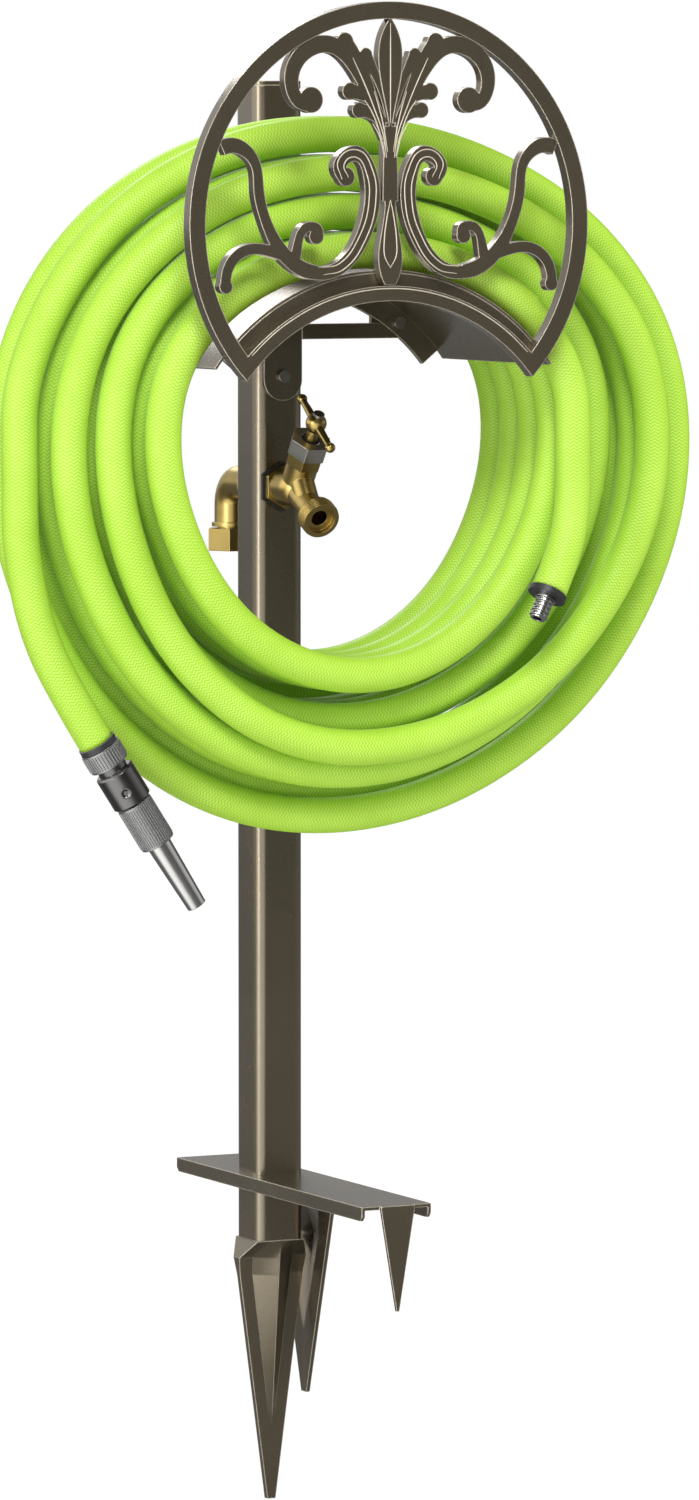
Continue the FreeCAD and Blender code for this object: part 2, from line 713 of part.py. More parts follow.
BULBS = [(61, 86, 9), (35, 126, 6.5), (19, 117, 5), (31, 92, 6), (24, 79, 5.5), (34, 33, 6.5),
         (57, -8, 5.5), (126, -42, 5)]
LEAF = [(0, 62, 1), (0, 92, 12), (0, 121, 18), (0, 142.4, 1)]
STEM = [(0, 68, 9), (0, 40, 11), (0, 16, 12)]
DROP = [(0, 22, 10), (0, -6, 14), (0, -28, 18), (0, -42, 8)]


def ornament_point(across, up):
    """A point of the ornament on its back face."""
    return Vector(across, float(ring_back) - 1, float(ring_center) + up)


def curve_through(points):
    """A smooth edge through points."""
    curve = Part.BSplineCurve()
    curve.interpolate(points)
    return curve.toShape()


def stroke(points, mirror):
    """A flat stroke of changing width along a smooth centre line, extruded forwards."""
    middle = Part.BSplineCurve()
    middle.interpolate([ornament_point(mirror * across, up) for across, up, _ in points])
    sides = ([], [])
    for across, up, width in points:
        place = ornament_point(mirror * across, up)
        along = middle.tangent(middle.parameter(place))[0]
        normal = Vector(along.z, 0, -along.x)
        sides[0].append(place + normal * (width / 2))
        sides[1].append(place - normal * (width / 2))
    edges = [curve_through(sides[0]), Part.makeLine(sides[0][-1], sides[1][-1]),
             curve_through(sides[1][::-1]), Part.makeLine(sides[1][0], sides[0][0])]
    face = Part.Face(Part.Wire(edges))
    return face.extrude(Vector(0, -float(scroll_thick), 0))


def bulb(across, up, radius, mirror):
    """A round end of a scroll."""
    return Part.makeCylinder(radius, float(scroll_thick), ornament_point(mirror * across, up),
                             Vector(0, -1, 0))


def ornament(label, solids):
    """Strokes joined into one casting and trimmed to the ring's inside."""
    item = doc.addObject("Part::Feature", label)
    whole = solids[0].multiFuse(solids[1:])
    back = Vector(0, float(ring_back) + 1, float(ring_center))
    depth = float(ring_thick) + 4
    room = Part.makeCylinder(float(ring_inner - weld_gap), depth, back, Vector(0, -1, 0))
    mouth = Part.makeCylinder(float(band_radius + band_width + weld_gap), depth,
                              Vector(0, float(ring_back) + 1, float(arch_center)), Vector(0, -1, 0))
    item.Shape = whole.common(room).cut(mouth).removeSplitter()
    return item


SIDE_STROKES = [UPPER_SCROLL, FEATHER_LONG, FEATHER_SHORT, LOBE_UPPER, LOBE_LOWER, INNER_SCROLL,
                RISING_SCROLL, HOOK_SCROLL, TAIL_SCROLL]
center_solids = [stroke(points, 1) for points in (LEAF, STEM, DROP)]
palmette = node("center_palmette", ornament("center_palmette", center_solids))
for label, mirror in (("scroll_left", -1), ("scroll_right", 1)):
    solids = [stroke(points, mirror) for points in SIDE_STROKES]
    solids += [bulb(across, up, radius, mirror) for across, up, radius in BULBS]
    half = ornament(label, solids)
    half.Shape = half.Shape.cut(palmette.Shape)
    node(label, half)


# Through pipe, washer and lock nut on the post's front
TO_FRONT = FreeCAD.Rotation(Vector(1, 0, 0), 90)
lock_front = post_half + washer_thick + lock_thick
pipe_front = lock_front + tap_socket
pipe_end = elbow_start + elbow_pipe_seat
pipe_clear = pipe_diameter + run_gap * 2
pipe_length = pipe_front + pipe_end
node("through_pipe", cut(
    "through_pipe", rod("pipe_wall", pipe_diameter, pipe_length, "y", y=-pipe_front, z=pipe_level),
    rod("pipe_inside", pipe_bore, pipe_length + 2, "y", y=-pipe_front - 1, z=pipe_level)))
CORNER_UP = TO_FRONT.multiply(FreeCAD.Rotation(UP, 30))
for label, across, start, thick in (("post_washer", washer_across, post_half, washer_thick),
                                    ("lock_nut", lock_across, post_half + washer_thick, lock_thick)):
    front_frame = FreeCAD.Placement(Vector(0, -float(start), float(pipe_level)), CORNER_UP)
    node(label, cut(label, local_hexagon(label + "_hexagon", front_frame, across, thick),
                    local_rod(label + "_hole", front_frame, pipe_clear, thick + 2, -1)))

# Tap body: socket, hub, tilted barrel and threaded spout, with the seat between inlet and chamber
tap_center = Vector(0, -float(lock_front + tap_reach), float(pipe_level))
stem_frame = FreeCAD.Placement(tap_center, FreeCAD.Rotation(Vector(1, 0, 0), float(stem_tilt)))
spout_frame = FreeCAD.Placement(tap_center, FreeCAD.Rotation(Vector(1, 0, 0), 90 + float(spout_drop)))
web_start = stem_frame.multVec(UP * float(seat_level * 2))
web_end = spout_frame.multVec(UP * float(spout_length / 2))
web_frame = FreeCAD.Placement(web_start, FreeCAD.Rotation(UP, web_end - web_start))
web_length = (web_end - web_start).Length
thread_start = spout_length - hose_thread_length
tap_solid = fuse(
    "tap_solid",
    rod("tap_neck", tap_hub, tap_reach, "y", y=-lock_front - tap_reach, z=pipe_level),
    ball("tap_ball", tap_hub, tap_center),
    local_rod("tap_barrel", stem_frame, barrel_diameter, barrel_length),
    local_hexagon("tap_flats", stem_frame, flats_across, flats_length, barrel_length - flats_length),
    local_rod("tap_spout", spout_frame, spout_diameter, spout_length),
    local_rod("tap_thread", spout_frame, hose_thread, hose_thread_length, thread_start),
    local_rod("tap_web", web_frame, spout_web, web_length))
node("tap_body", cut(
    "tap_body", tap_solid,
    rod("tap_back", tap_hub * 2, tap_hub, "y", y=-lock_front, z=pipe_level),
    rod("tap_socket_bore", pipe_clear, tap_socket + 1, "y", y=-pipe_front, z=pipe_level),
    rod("tap_inlet", inlet_passage, tap_reach - tap_socket + 1, "y", y=-lock_front - tap_reach,
        z=pipe_level),
    local_rod("tap_seat", stem_frame, seat_bore, seat_level + seat_bore / 2 + 1, -seat_bore / 2),
    local_rod("tap_chamber", stem_frame, chamber_bore, barrel_length - seat_level + 1, seat_level),
    local_rod("tap_passage", web_frame, spout_passage, web_length),
    local_rod("tap_outlet", spout_frame, spout_bore, spout_length / 2 + 3, spout_length / 2 - 2),
    local_rod("tap_recess", spout_frame, thread_recess, thread_recess_depth + 1,
              spout_length - thread_recess_depth)))

# Valve: bonnet nut, packing, stem, handle and the washer that closes the seat
stem_clear = stem_diameter + run_gap * 2
bonnet_top = barrel_length + bonnet_thick
node("bonnet_nut", cut(
    "bonnet_nut",
    fuse("bonnet_solid",
         local_hexagon("bonnet_hexagon", stem_frame, bonnet_across, bonnet_thick, barrel_length),
         local_rod("bonnet_spigot", stem_frame, chamber_bore - run_gap * 2, bonnet_spigot + 1,
                   barrel_length - bonnet_spigot)),
    local_rod("bonnet_bore", stem_frame, stem_clear, bonnet_thick + bonnet_spigot + 2,
              barrel_length - bonnet_spigot - 1),
    local_rod("bonnet_pocket", stem_frame, packing_bore, packing_thick + 1, bonnet_top - packing_thick)))
node("packing_ring", turned("packing_ring", [
    (stem_clear / 2, bonnet_top - packing_thick), (packing_bore / 2 - run_gap, bonnet_top - packing_thick),
    (packing_bore / 2 - run_gap, bonnet_top), (stem_clear / 2, bonnet_top)], stem_frame))
washer_bottom = seat_level + run_gap
washer_top = washer_bottom + seat_washer_thick
foot_top = washer_top + stem_foot_height
shank_radius = small_shank / 2
shank_clear = shank_radius + run_gap
node("valve_stem", turned("valve_stem", [
    (shank_clear, washer_top), (stem_foot / 2, washer_top), (stem_foot / 2, foot_top),
    (stem_diameter / 2, foot_top),
    (stem_diameter / 2, stem_top), (shank_clear, stem_top), (shank_clear, stem_top - small_shank * 2),
    (0.0, stem_top - small_shank * 2), (0.0, washer_top + small_shank * 2),
    (shank_clear, washer_top + small_shank * 2)], stem_frame))
node("seat_washer", turned("seat_washer", [
    (shank_clear, washer_bottom), (stem_foot / 2, washer_bottom), (stem_foot / 2, washer_top),
    (shank_clear, washer_top)], stem_frame))
node("washer_screw", turned("washer_screw", [
    (0.0, washer_bottom - shank_radius), (small_shank - run_gap, washer_bottom - shank_radius),
    (small_shank - run_gap, washer_bottom), (shank_radius, washer_bottom),
    (shank_radius, washer_top + small_shank), (0.0, washer_top + small_shank)], stem_frame))

knob_radius = knob_diameter / 2
knob_flat = stem_top + knob_radius * 0.87
arms = []
for side in (-1, 1):
    arm = doc.addObject("Part::Cone", f"handle_arm_{side + 1}")
    bind(arm, "Radius1", handle_root / 2)
    bind(arm, "Radius2", handle_end / 2)
    bind(arm, "Height", handle_reach)
    lie = FreeCAD.Placement(UP * float(stem_top), FreeCAD.Rotation(Vector(1, 0, 0), -90 * side))
    arm.Placement = stem_frame.multiply(lie)
    arms.append(arm)
    arms.append(ball(f"handle_ball_{side + 1}", handle_ball,
                     stem_frame.multVec(Vector(0, side * float(handle_reach), float(stem_top)))))
node("tee_handle", cut(
    "tee_handle",
    fuse("handle_solid",
         ball("handle_knob", knob_diameter, stem_frame.multVec(UP * float(stem_top))), *arms),
    local_rod("handle_bore", stem_frame, stem_clear, knob_diameter, stem_top - knob_diameter),
    local_rod("handle_screw_bore", stem_frame, small_shank + run_gap * 2, knob_diameter, stem_top - 1),
    local_rod("handle_seat", stem_frame, handle_screw_head + 1, knob_radius, knob_flat)))
node("handle_screw", turned("handle_screw", [
    (0.0, stem_top - small_shank), (shank_radius, stem_top - small_shank), (shank_radius, knob_flat),
    (handle_screw_head / 2, knob_flat), (handle_screw_head / 2, knob_flat + handle_screw_height),
    (0.0, knob_flat + handle_screw_height)], stem_frame))

# Rear elbow with its swivel nut and washer
bend_depth = elbow_reach - elbow_bend
bend_level = pipe_level - elbow_bend
nut_top = bead_level - nut_gap
nut_bottom = nut_top - nut_height
flange_top = nut_top - nut_lip - free_gap
flange_bottom = flange_top - tail_flange_height


def bend(name, diameter):
    """A quarter of a torus from the pipe's line down to the elbow's upright leg."""
    item = doc.addObject("Part::Torus", name)
    bind(item, "Radius1", elbow_bend)
    bind(item, "Radius2", diameter / 2)
    item.Angle3 = 90
    item.Placement = FreeCAD.Placement(Vector(0, float(bend_depth), float(bend_level)),
                                       FreeCAD.Rotation(Vector(0, 1, 0), UP, Vector(1, 0, 0), "XYZ"))
    return item


elbow_solid = fuse(
    "elbow_solid", bend("elbow_bend", elbow_diameter),
    rod("elbow_leg", elbow_diameter, bend_depth - elbow_start, "y", y=elbow_start, z=pipe_level),
    rod("elbow_lip", elbow_diameter + bead_height, bead_height, "y", y=elbow_start, z=pipe_level),
    rod("elbow_down", elbow_diameter, bend_level - bead_level, y=elbow_reach, z=bead_level),
    rod("elbow_bead", bead_diameter, bead_height, y=elbow_reach, z=bead_level),
    rod("elbow_tail", tail_diameter, bead_level - flange_bottom, y=elbow_reach, z=flange_bottom),
    rod("elbow_flange", tail_flange, tail_flange_height, y=elbow_reach, z=flange_bottom))
node("inlet_elbow", cut(
    "inlet_elbow", elbow_solid, bend("elbow_bend_bore", elbow_bore),
    rod("elbow_leg_bore", elbow_bore, bend_depth - elbow_start + 1, "y", y=elbow_start - 1, z=pipe_level),
    rod("elbow_seat", pipe_clear, elbow_pipe_seat + 1, "y", y=elbow_start - 1, z=pipe_level),
    rod("elbow_down_bore", elbow_bore, bend_level - flange_bottom + 1, y=elbow_reach, z=flange_bottom - 1)))
inlet_frame = FreeCAD.Placement(Vector(0, float(elbow_reach), float(nut_bottom)), FreeCAD.Rotation())
washer_level = flange_bottom - inlet_washer_thick
thread_length = washer_level - free_gap - nut_bottom
node("inlet_nut", cut(
    "inlet_nut", local_hexagon("inlet_hexagon", inlet_frame, inlet_across, nut_height),
    local_rod("inlet_thread", inlet_frame, inlet_bore, thread_length + 1, -1),
    local_rod("inlet_pocket", inlet_frame, inlet_relief, nut_height - nut_lip - thread_length,
              thread_length),
    local_rod("inlet_lip", inlet_frame, tail_diameter + free_gap * 2, nut_height + 2, -1)))
node("inlet_washer", turned("inlet_washer", [
    (inlet_washer_bore / 2, washer_level), (tail_flange / 2, washer_level),
    (tail_flange / 2, flange_bottom), (inlet_washer_bore / 2, flange_bottom)]))
move(nodes["inlet_washer"], y=elbow_reach)


# Hose: four layers over the saddle, wound to the left over the top from the inner end to the nozzle end
QUARTER_TURNS = (18, 14, 10, 6)
HEADINGS = (Vector(0, 0, 1), Vector(-1, 0, 0), Vector(0, 0, -1), Vector(1, 0, 0))
hose_radius = float(hose_diameter) / 2
first_top = float(arch_center + saddle_radius + free_gap) + hose_radius


def wound_stations():
    """Layer and depth at each quarter turn; a layer is climbed in the half turn where it reverses."""
    depth = -float(loop_first)
    stations = [(0.0, depth)]
    forward = 1
    for layer, count in enumerate(QUARTER_TURNS):
        for _ in range(count):
            depth += forward * float(loop_pitch) / 4
            stations.append((layer, depth))
        if layer + 1 < len(QUARTER_TURNS):
            depth += forward * float(turn_back)
            stations.append((layer + 0.5, depth))
            stations.append((layer + 1.0, depth))
        forward = -forward
    return stations


def wound_point(quarter, layer, depth):
    """A loop's point at its right, top, left or bottom."""
    left = float(loop_half_width) + layer * float(layer_widen)
    right = float(loop_half_width) + layer * float(right_widen)
    level = first_top - float(loop_shoulder) - layer * float(layer_sink)
    top = first_top + layer * float(layer_rise)
    bottom = float(loop_bottom) - layer * float(layer_drop)
    return (Vector(right, depth, level), Vector(0, depth, top), Vector(-left, depth, level),
            Vector(0, depth, bottom))[quarter % 4]


def arc_edge(start, heading, end):
    """A circular arc that leaves start along heading and ends at end."""
    chord = end - start
    length = chord.Length
    along = chord / length
    side = heading - along * heading.dot(along)
    if side.Length < 1e-6:
        return Part.LineSegment(start, end).toShape()
    angle = heading.getAngle(along)
    middle = start + chord / 2 + side / side.Length * (length / 2 * math.tan(angle / 2))
    return Part.Arc(start, middle, end).toShape()


def biarc(start, heading, end, leaving):
    """Two arcs, tangent to each other, from one point and heading to another."""
    span = end - start
    total = heading + leaving
    a = 2 * (1 - heading.dot(leaving))
    b = 2 * span.dot(total)
    reach = (-b + math.sqrt(b * b + 4 * a * span.dot(span))) / (2 * a)
    joint = (start + heading * reach + end - leaving * reach) / 2
    between = (end - leaving * reach - start - heading * reach)
    between.normalize()
    return [arc_edge(start, heading, joint), arc_edge(joint, between, end)]


def wound_wire():
    """The coil's centre line, with a straight run of one diameter at each end."""
    stations = wound_stations()
    points = [wound_point(quarter, *station) for quarter, station in enumerate(stations)]
    headings = []
    for quarter, point in enumerate(points):
        heading = Vector(HEADINGS[quarter % 4])
        if 0 < quarter < len(points) - 1:
            before, after = points[quarter - 1], points[quarter + 1]
            travel = (point - before).Length + (after - point).Length
            heading += Vector(0, (after.y - before.y) / travel / 1.11, 0)
        headings.append(heading.normalize())
    first = points[0] - headings[0] * float(hose_diameter)
    last = points[-1] + headings[-1] * float(hose_diameter)
    edges = [Part.LineSegment(first, points[0]).toShape()]
    for start, heading, end, leaving in zip(points, headings, points[1:], headings[1:]):
        edges += biarc(start, heading, end, leaving)
    edges.append(Part.LineSegment(points[-1], last).toShape())
    return edges, first, last


def tube(edges, diameter):
    """A round tube along a smooth wire."""
    path = Part.Wire(edges)
    start = edges[0].valueAt(edges[0].FirstParameter)
    heading = edges[0].tangentAt(edges[0].FirstParameter)
    circle = Part.Wire(Part.Circle(start, heading, diameter / 2).toShape())
    shell = Part.BRepOffsetAPI.MakePipeShell(path)
    shell.add(circle)
    shell.build()
    shell.makeSolid()
    return shell.shape()


def report_tube(label, edges, solid):
    """Print a tube's length and how its volume compares with section times length."""
    length = sum(edge.Length for edge in edges)
    ideal = math.pi * hose_radius ** 2 * length
    print(f"{label} length {length:.0f} volume ratio {solid.Volume / ideal:.5f}")


def least_gap(edges):
    """The coil's smallest clearance to itself, from points a few millimetres apart."""
    step = hose_radius / 3
    points = []
    for edge in edges:
        points += edge.discretize(max(2, int(edge.Length / step)))[:-1]
    travel = [0.0]
    for first, second in zip(points, points[1:]):
        travel.append(travel[-1] + (second - first).Length)
    cells = {}
    size = float(hose_diameter) * 1.2
    for index, point in enumerate(points):
        cell = (int(point.x // size), int(point.y // size), int(point.z // size))
        cells.setdefault(cell, []).append(index)
    nearest = size
    around_cell = [(i, j, k) for i in (-1, 0, 1) for j in (-1, 0, 1) for k in (-1, 0, 1)]
    for index, point in enumerate(points):
        home = (int(point.x // size), int(point.y // size), int(point.z // size))
        for shift in around_cell:
            for other in cells.get((home[0] + shift[0], home[1] + shift[1], home[2] + shift[2]), ()):
                if other > index and travel[other] - travel[index] > size * 4:
                    run = points[min(other + 1, len(points) - 1)] - points[other - 1]
                    run.normalize()
                    offset = point - points[other]
                    nearest = min(nearest, (offset - run * offset.dot(run)).Length)
    return nearest - float(hose_diameter)


coil_edges, coil_start, coil_end = wound_wire()
coil = doc.addObject("Part::Feature", "hose_coil")
coil.Shape = tube(coil_edges, float(hose_diameter))
node("hose_coil", coil)
report_tube("hose_coil", coil_edges, coil.Shape)
print(f"hose_coil least gap {least_gap(coil_edges):.2f}")

# The hose's free ends: route points chosen by hand
INNER_STEPS = ((0, 0, 0), (0, 0, -34), (-8, -5, -66.6), (-25, -11, -95.4))
NOZZLE_STEPS = ((0, 0, 0), (0, 0, -46), (13, -1, -107), (40.8, -2, -157), (56, -2.6, -180.5))
INNER_ROUTE = [coil_start + Vector(*step) for step in INNER_STEPS]
NOZZLE_ROUTE = [coil_end + Vector(*step) for step in NOZZLE_STEPS]


def route_edges(label, points):
    """Straight runs joined by tangent arcs as large as the runs allow."""
    edges = []
    start = points[0]
    for before, corner, after in zip(points, points[1:], points[2:]):
        into, out = corner - before, after - corner
        reach = 0.45 * min(into.Length, out.Length)
        half_turn = into.getAngle(out) / 2
        print(f"{label} radius {reach / math.tan(half_turn):.0f}")
        into.normalize()
        out.normalize()
        enter, leave = corner - into * reach, corner + out * reach
        edges.append(Part.LineSegment(start, enter).toShape())
        edges.append(arc_edge(enter, into, leave))
        start = leave
    edges.append(Part.LineSegment(start, points[-1]).toShape())
    return edges


for label, route in (("hose_inner_tail", INNER_ROUTE), ("hose_nozzle_tail", NOZZLE_ROUTE)):
    item = doc.addObject("Part::Feature", label)
    route_run = route_edges(label, route)
    item.Shape = tube(route_run, float(hose_diameter))
    node(label, item)
    report_tube(label, route_run, item.Shape)


def end_frame(route):
    """A frame at a route's end with Z along its last run."""
    return FreeCAD.Placement(route[-1], FreeCAD.Rotation(UP, route[-1] - route[-2]))


# Inner end: thin ferrule and a barbed stub
BARB_COUNT = 4
bore_radius = hose_bore / 2
ferrule_radius = ferrule_diameter / 2
inner_frame = end_frame(INNER_ROUTE)
node("inner_ferrule", turned("inner_ferrule", [
    (bore_radius, 0.0), (ferrule_radius, 0.0), (ferrule_radius, ferrule_length),
    (bore_radius, ferrule_length)], inner_frame))
stub_outline = [(stub_bore / 2, ferrule_length), (stub_base / 2, ferrule_length),
                (stub_base / 2, ferrule_length + stub_base_height)]
barb_foot = ferrule_length + stub_base_height
for _ in range(BARB_COUNT):
    stub_outline += [(stub_root / 2, barb_foot), (stub_barb / 2, barb_foot + barb_pitch * 0.2),
                     (stub_barb / 2, barb_foot + barb_pitch * 0.6),
                     (stub_root / 2, barb_foot + barb_pitch * 0.8)]
    barb_foot = barb_foot + barb_pitch
stub_outline += [(stub_root / 2, barb_foot), (stub_bore / 2, barb_foot)]
node("inner_stub", turned("inner_stub", stub_outline, inner_frame))

# Nozzle end: ferrule with a captive collar, then seal, body, twist sleeve and tip
nozzle_frame = end_frame(NOZZLE_ROUTE)
flange_start = ferrule_length + free_gap * 2 + collar_lip
flange_end = flange_start + collar_flange_height
node("nozzle_ferrule", turned("nozzle_ferrule", [
    (bore_radius, 0.0), (ferrule_radius, 0.0), (ferrule_radius, ferrule_length),
    (collar_stem / 2, ferrule_length), (collar_stem / 2, flange_start), (collar_flange / 2, flange_start),
    (collar_flange / 2, flange_end), (bore_radius, flange_end)], nozzle_frame))
collar_start = ferrule_length + free_gap
collar_end = collar_start + collar_length
collar_bore = nozzle_neck / 2 + free_gap
node("nozzle_collar", turned("nozzle_collar", [
    (collar_stem / 2 + free_gap, collar_start), (collar_diameter / 2, collar_start),
    (collar_diameter / 2, collar_end), (collar_bore, collar_end), (collar_bore, collar_start + collar_lip),
    (collar_stem / 2 + free_gap, collar_start + collar_lip)], nozzle_frame))
seal_end = flange_end + seal_thick
node("nozzle_seal", turned("nozzle_seal", [
    (bore_radius, flange_end), (collar_flange / 2, flange_end), (collar_flange / 2, seal_end),
    (bore_radius, seal_end)], nozzle_frame))
ring_start = collar_end + free_gap
ring_end = ring_start + nozzle_ring_length
body_end = ring_end + nozzle_body_length
sleeve_start = body_end + free_gap
sleeve_end = sleeve_start + sleeve_length
core_end = sleeve_end - free_gap
core_radius = nozzle_core / 2
body_radius = nozzle_belly / 2
shoulder_radius = body_radius - nozzle_chamfer
node("nozzle_body", turned("nozzle_body", [
    (tip_bore / 2, seal_end), (nozzle_neck / 2, seal_end), (nozzle_neck / 2, ring_start),
    (nozzle_ring / 2, ring_start), (nozzle_ring / 2, ring_end), (shoulder_radius, ring_end),
    (body_radius, ring_end + nozzle_chamfer), (body_radius, body_end - nozzle_chamfer),
    (shoulder_radius, body_end), (core_radius, body_end), (core_radius, core_end),
    (tip_bore / 2, core_end)], nozzle_frame))
node("nozzle_sleeve", turned("nozzle_sleeve", [
    (core_radius + run_gap, sleeve_start), (sleeve_diameter / 2, sleeve_start),
    (sleeve_diameter / 2, sleeve_end), (core_radius + run_gap, sleeve_end)], nozzle_frame))
node("nozzle_tip", turned("nozzle_tip", [
    (tip_bore / 2, sleeve_end), (tip_diameter / 2, sleeve_end), (tip_end / 2, sleeve_end + tip_length),
    (tip_bore / 2, sleeve_end + tip_length)], nozzle_frame))


def write_nodes():
    """Check the whole document, then write each sub-part to its own file."""
    doc.recompute()
    for item in doc.Objects:
        if "Invalid" in item.State or "Error" in item.State:
            raise RuntimeError(f"{item.Name} failed: {item.State}")
    for label, item in nodes.items():
        shape = item.Shape
        if shape.isNull() or not shape.isValid() or not shape.Solids:
            raise RuntimeError(f"{label} has no valid solid")
        shape.exportStep(f"parts/{label}.step")
        print(label, len(shape.Solids), round(shape.Volume))


write_nodes()
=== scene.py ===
"""Dresses the freestanding hose stand: finishes, hose, trim and a plain studio."""
import json
import math

import bmesh
import bpy
from bpy.props import FloatProperty, FloatVectorProperty, IntProperty, PointerProperty
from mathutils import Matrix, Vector


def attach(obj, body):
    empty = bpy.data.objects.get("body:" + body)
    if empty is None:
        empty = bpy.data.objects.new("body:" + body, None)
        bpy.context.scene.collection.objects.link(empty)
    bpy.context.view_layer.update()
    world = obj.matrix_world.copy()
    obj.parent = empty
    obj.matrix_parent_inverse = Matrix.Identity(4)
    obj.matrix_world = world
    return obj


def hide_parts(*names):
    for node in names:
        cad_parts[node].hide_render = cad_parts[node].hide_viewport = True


bl_info = {
    "name": "Hose Stand Dresser",
    "version": (1, 0, 0),
    "blender": (4, 5, 0),
    "location": "View3D > Sidebar > Hose Stand",
    "description": "Finishes, hose, trim and studio for a freestanding hose stand",
    "category": "Object",
}

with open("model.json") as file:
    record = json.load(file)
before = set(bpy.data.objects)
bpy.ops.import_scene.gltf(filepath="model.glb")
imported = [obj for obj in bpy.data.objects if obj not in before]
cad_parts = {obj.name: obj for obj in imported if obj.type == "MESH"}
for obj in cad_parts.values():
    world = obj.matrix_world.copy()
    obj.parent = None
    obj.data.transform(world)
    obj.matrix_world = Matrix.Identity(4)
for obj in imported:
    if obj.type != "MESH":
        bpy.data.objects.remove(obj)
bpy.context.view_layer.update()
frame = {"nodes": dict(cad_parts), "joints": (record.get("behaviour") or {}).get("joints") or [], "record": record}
NODES = frame["nodes"]
MM = 0.001
JOINTS = {joint["name"]: joint for joint in frame["joints"]}
MOUNTS = {mount["name"]: mount for mount in frame["record"]["mounts"]}

PAINTED = ("post_tube", "post_cap", "ground_stake", "side_spike", "step_plate", "saddle", "rear_arch",
           "front_arch", "hanger_strip", "tie_bars", "front_ring", "center_palmette", "scroll_left",
           "scroll_right")
SCREWS = ("strip_screws", "arch_screws", "arch_nuts", "ring_screws", "handle_screw", "washer_screw")
BRASS = ("through_pipe", "lock_nut", "tap_body", "valve_stem", "tee_handle", "inlet_elbow", "inlet_nut")
NICKEL = ("bonnet_nut",)
RUBBER = ("post_washer", "packing_ring", "seat_washer", "inlet_washer", "nozzle_seal")
FERRULES = ("inner_ferrule", "nozzle_ferrule")
STEEL = ("inner_stub", "nozzle_tip")
RIBBED = ("nozzle_collar", "nozzle_sleeve")
GUNMETAL = ("nozzle_body",)


def colour_property(name, words, default):
    """A colour a user can change, in linear values."""
    return FloatVectorProperty(name=name, description=words, subtype="COLOR", size=3, min=0.0, max=1.0,
                               default=default)


def length_property(name, words, default):
    """A length a user can change, in metres."""
    return FloatProperty(name=name, description=words, subtype="DISTANCE", unit="LENGTH", default=default)


class HoseStandColours(bpy.types.PropertyGroup):
    """Colours of the stand's finishes."""
    bronze: colour_property("Bronze paint", "Main coat on the metalwork", (0.165, 0.136, 0.090))
    # The pale bronze edge colour is a painted highlight along the edges.
    bronze_edge_highlight: colour_property("Bronze edge", "Painted highlight along the edges of the coat", (0.78, 0.70, 0.56))
    brass: colour_property("Brass", "Tap, elbow and nuts", (0.44, 0.325, 0.105))
    nickel: colour_property("Nickel", "Bonnet nut", (0.56, 0.54, 0.49))
    zinc: colour_property("Zinc", "Screws and nuts", (0.34, 0.32, 0.27))
    rubber: colour_property("Rubber", "Washers and seals", (0.012, 0.012, 0.012))
    plastic: colour_property("Black plastic", "Hose ferrules", (0.014, 0.014, 0.015))
    gunmetal: colour_property("Gunmetal", "Nozzle body", (0.135, 0.132, 0.128))
    steel: colour_property("Steel", "Nozzle tip and end stub", (0.47, 0.465, 0.45))
    ribbed: colour_property("Ribbed steel", "Nozzle collar and sleeve", (0.31, 0.31, 0.30))
    hose_green: colour_property("Hose green", "Outer layer of the hose", (0.37, 0.66, 0.018))
    # The pale braid colour stands partly for a painted sheen on the hose.
    hose_thread: colour_property("Hose thread", "Braid under the outer layer", (0.68, 0.92, 0.24))


class HoseStandHose(bpy.types.PropertyGroup):
    """Sizes of the hose and how it is wound, as the solid's."""
    diameter: length_property("Diameter", "Outside of the hose", 25.5 * MM)
    pitch: length_property("Pitch", "Loop to loop along the saddle", 28.8 * MM)
    first: length_property("First loop", "Depth of the innermost loop", 170.6 * MM)
    turn_back: length_property("Turn back", "Depth moved where the winding reverses", 3.0 * MM)
    half_width: length_property("Half width", "Half the inner loop's width", 156.0 * MM)
    shoulder: length_property("Shoulder", "Loop's top above its widest place", 120.0 * MM)
    top: length_property("Top", "Height of the inner loop's top", 675.65 * MM)
    bottom: length_property("Bottom", "Height of the inner loop's lowest place", 378.0 * MM)
    widen: length_property("Widen left", "Width added on the left by each layer", 29.2 * MM)
    right_widen: length_property("Widen right", "Width added on the right by each layer", 40.0 * MM)
    rise: length_property("Rise", "Height added by each layer", 26.9 * MM)
    drop: length_property("Drop", "Hang added by each layer", 34.5 * MM)
    sink: length_property("Sink", "Widest place lowered by each layer", 5.0 * MM)
    sides: IntProperty(name="Sides", description="Faces round the hose", default=24, min=8, max=48)


class HoseStandStudio(bpy.types.PropertyGroup):
    """The camera's place and the floor."""
    distance: length_property("Distance", "Camera to the post's axis along the ground", 5.792)
    height: length_property("Height", "Camera above the ground", 0.767)
    turn: FloatProperty(name="Turn", description="Camera left of the front", subtype="ANGLE",
                        default=math.radians(26.14))
    side_step: length_property("Side step", "Camera to the right of the post's axis", 0.0575)
    tilt: FloatProperty(name="Tilt", description="Camera down from level", subtype="ANGLE",
                        default=math.radians(4.464))
    lens: FloatProperty(name="Lens", description="Focal length on a 36 mm long side", unit="CAMERA",
                        default=194.05)
    floor_drop: length_property("Floor", "Floor below the ground line, at the stake's tip", 0.2285)


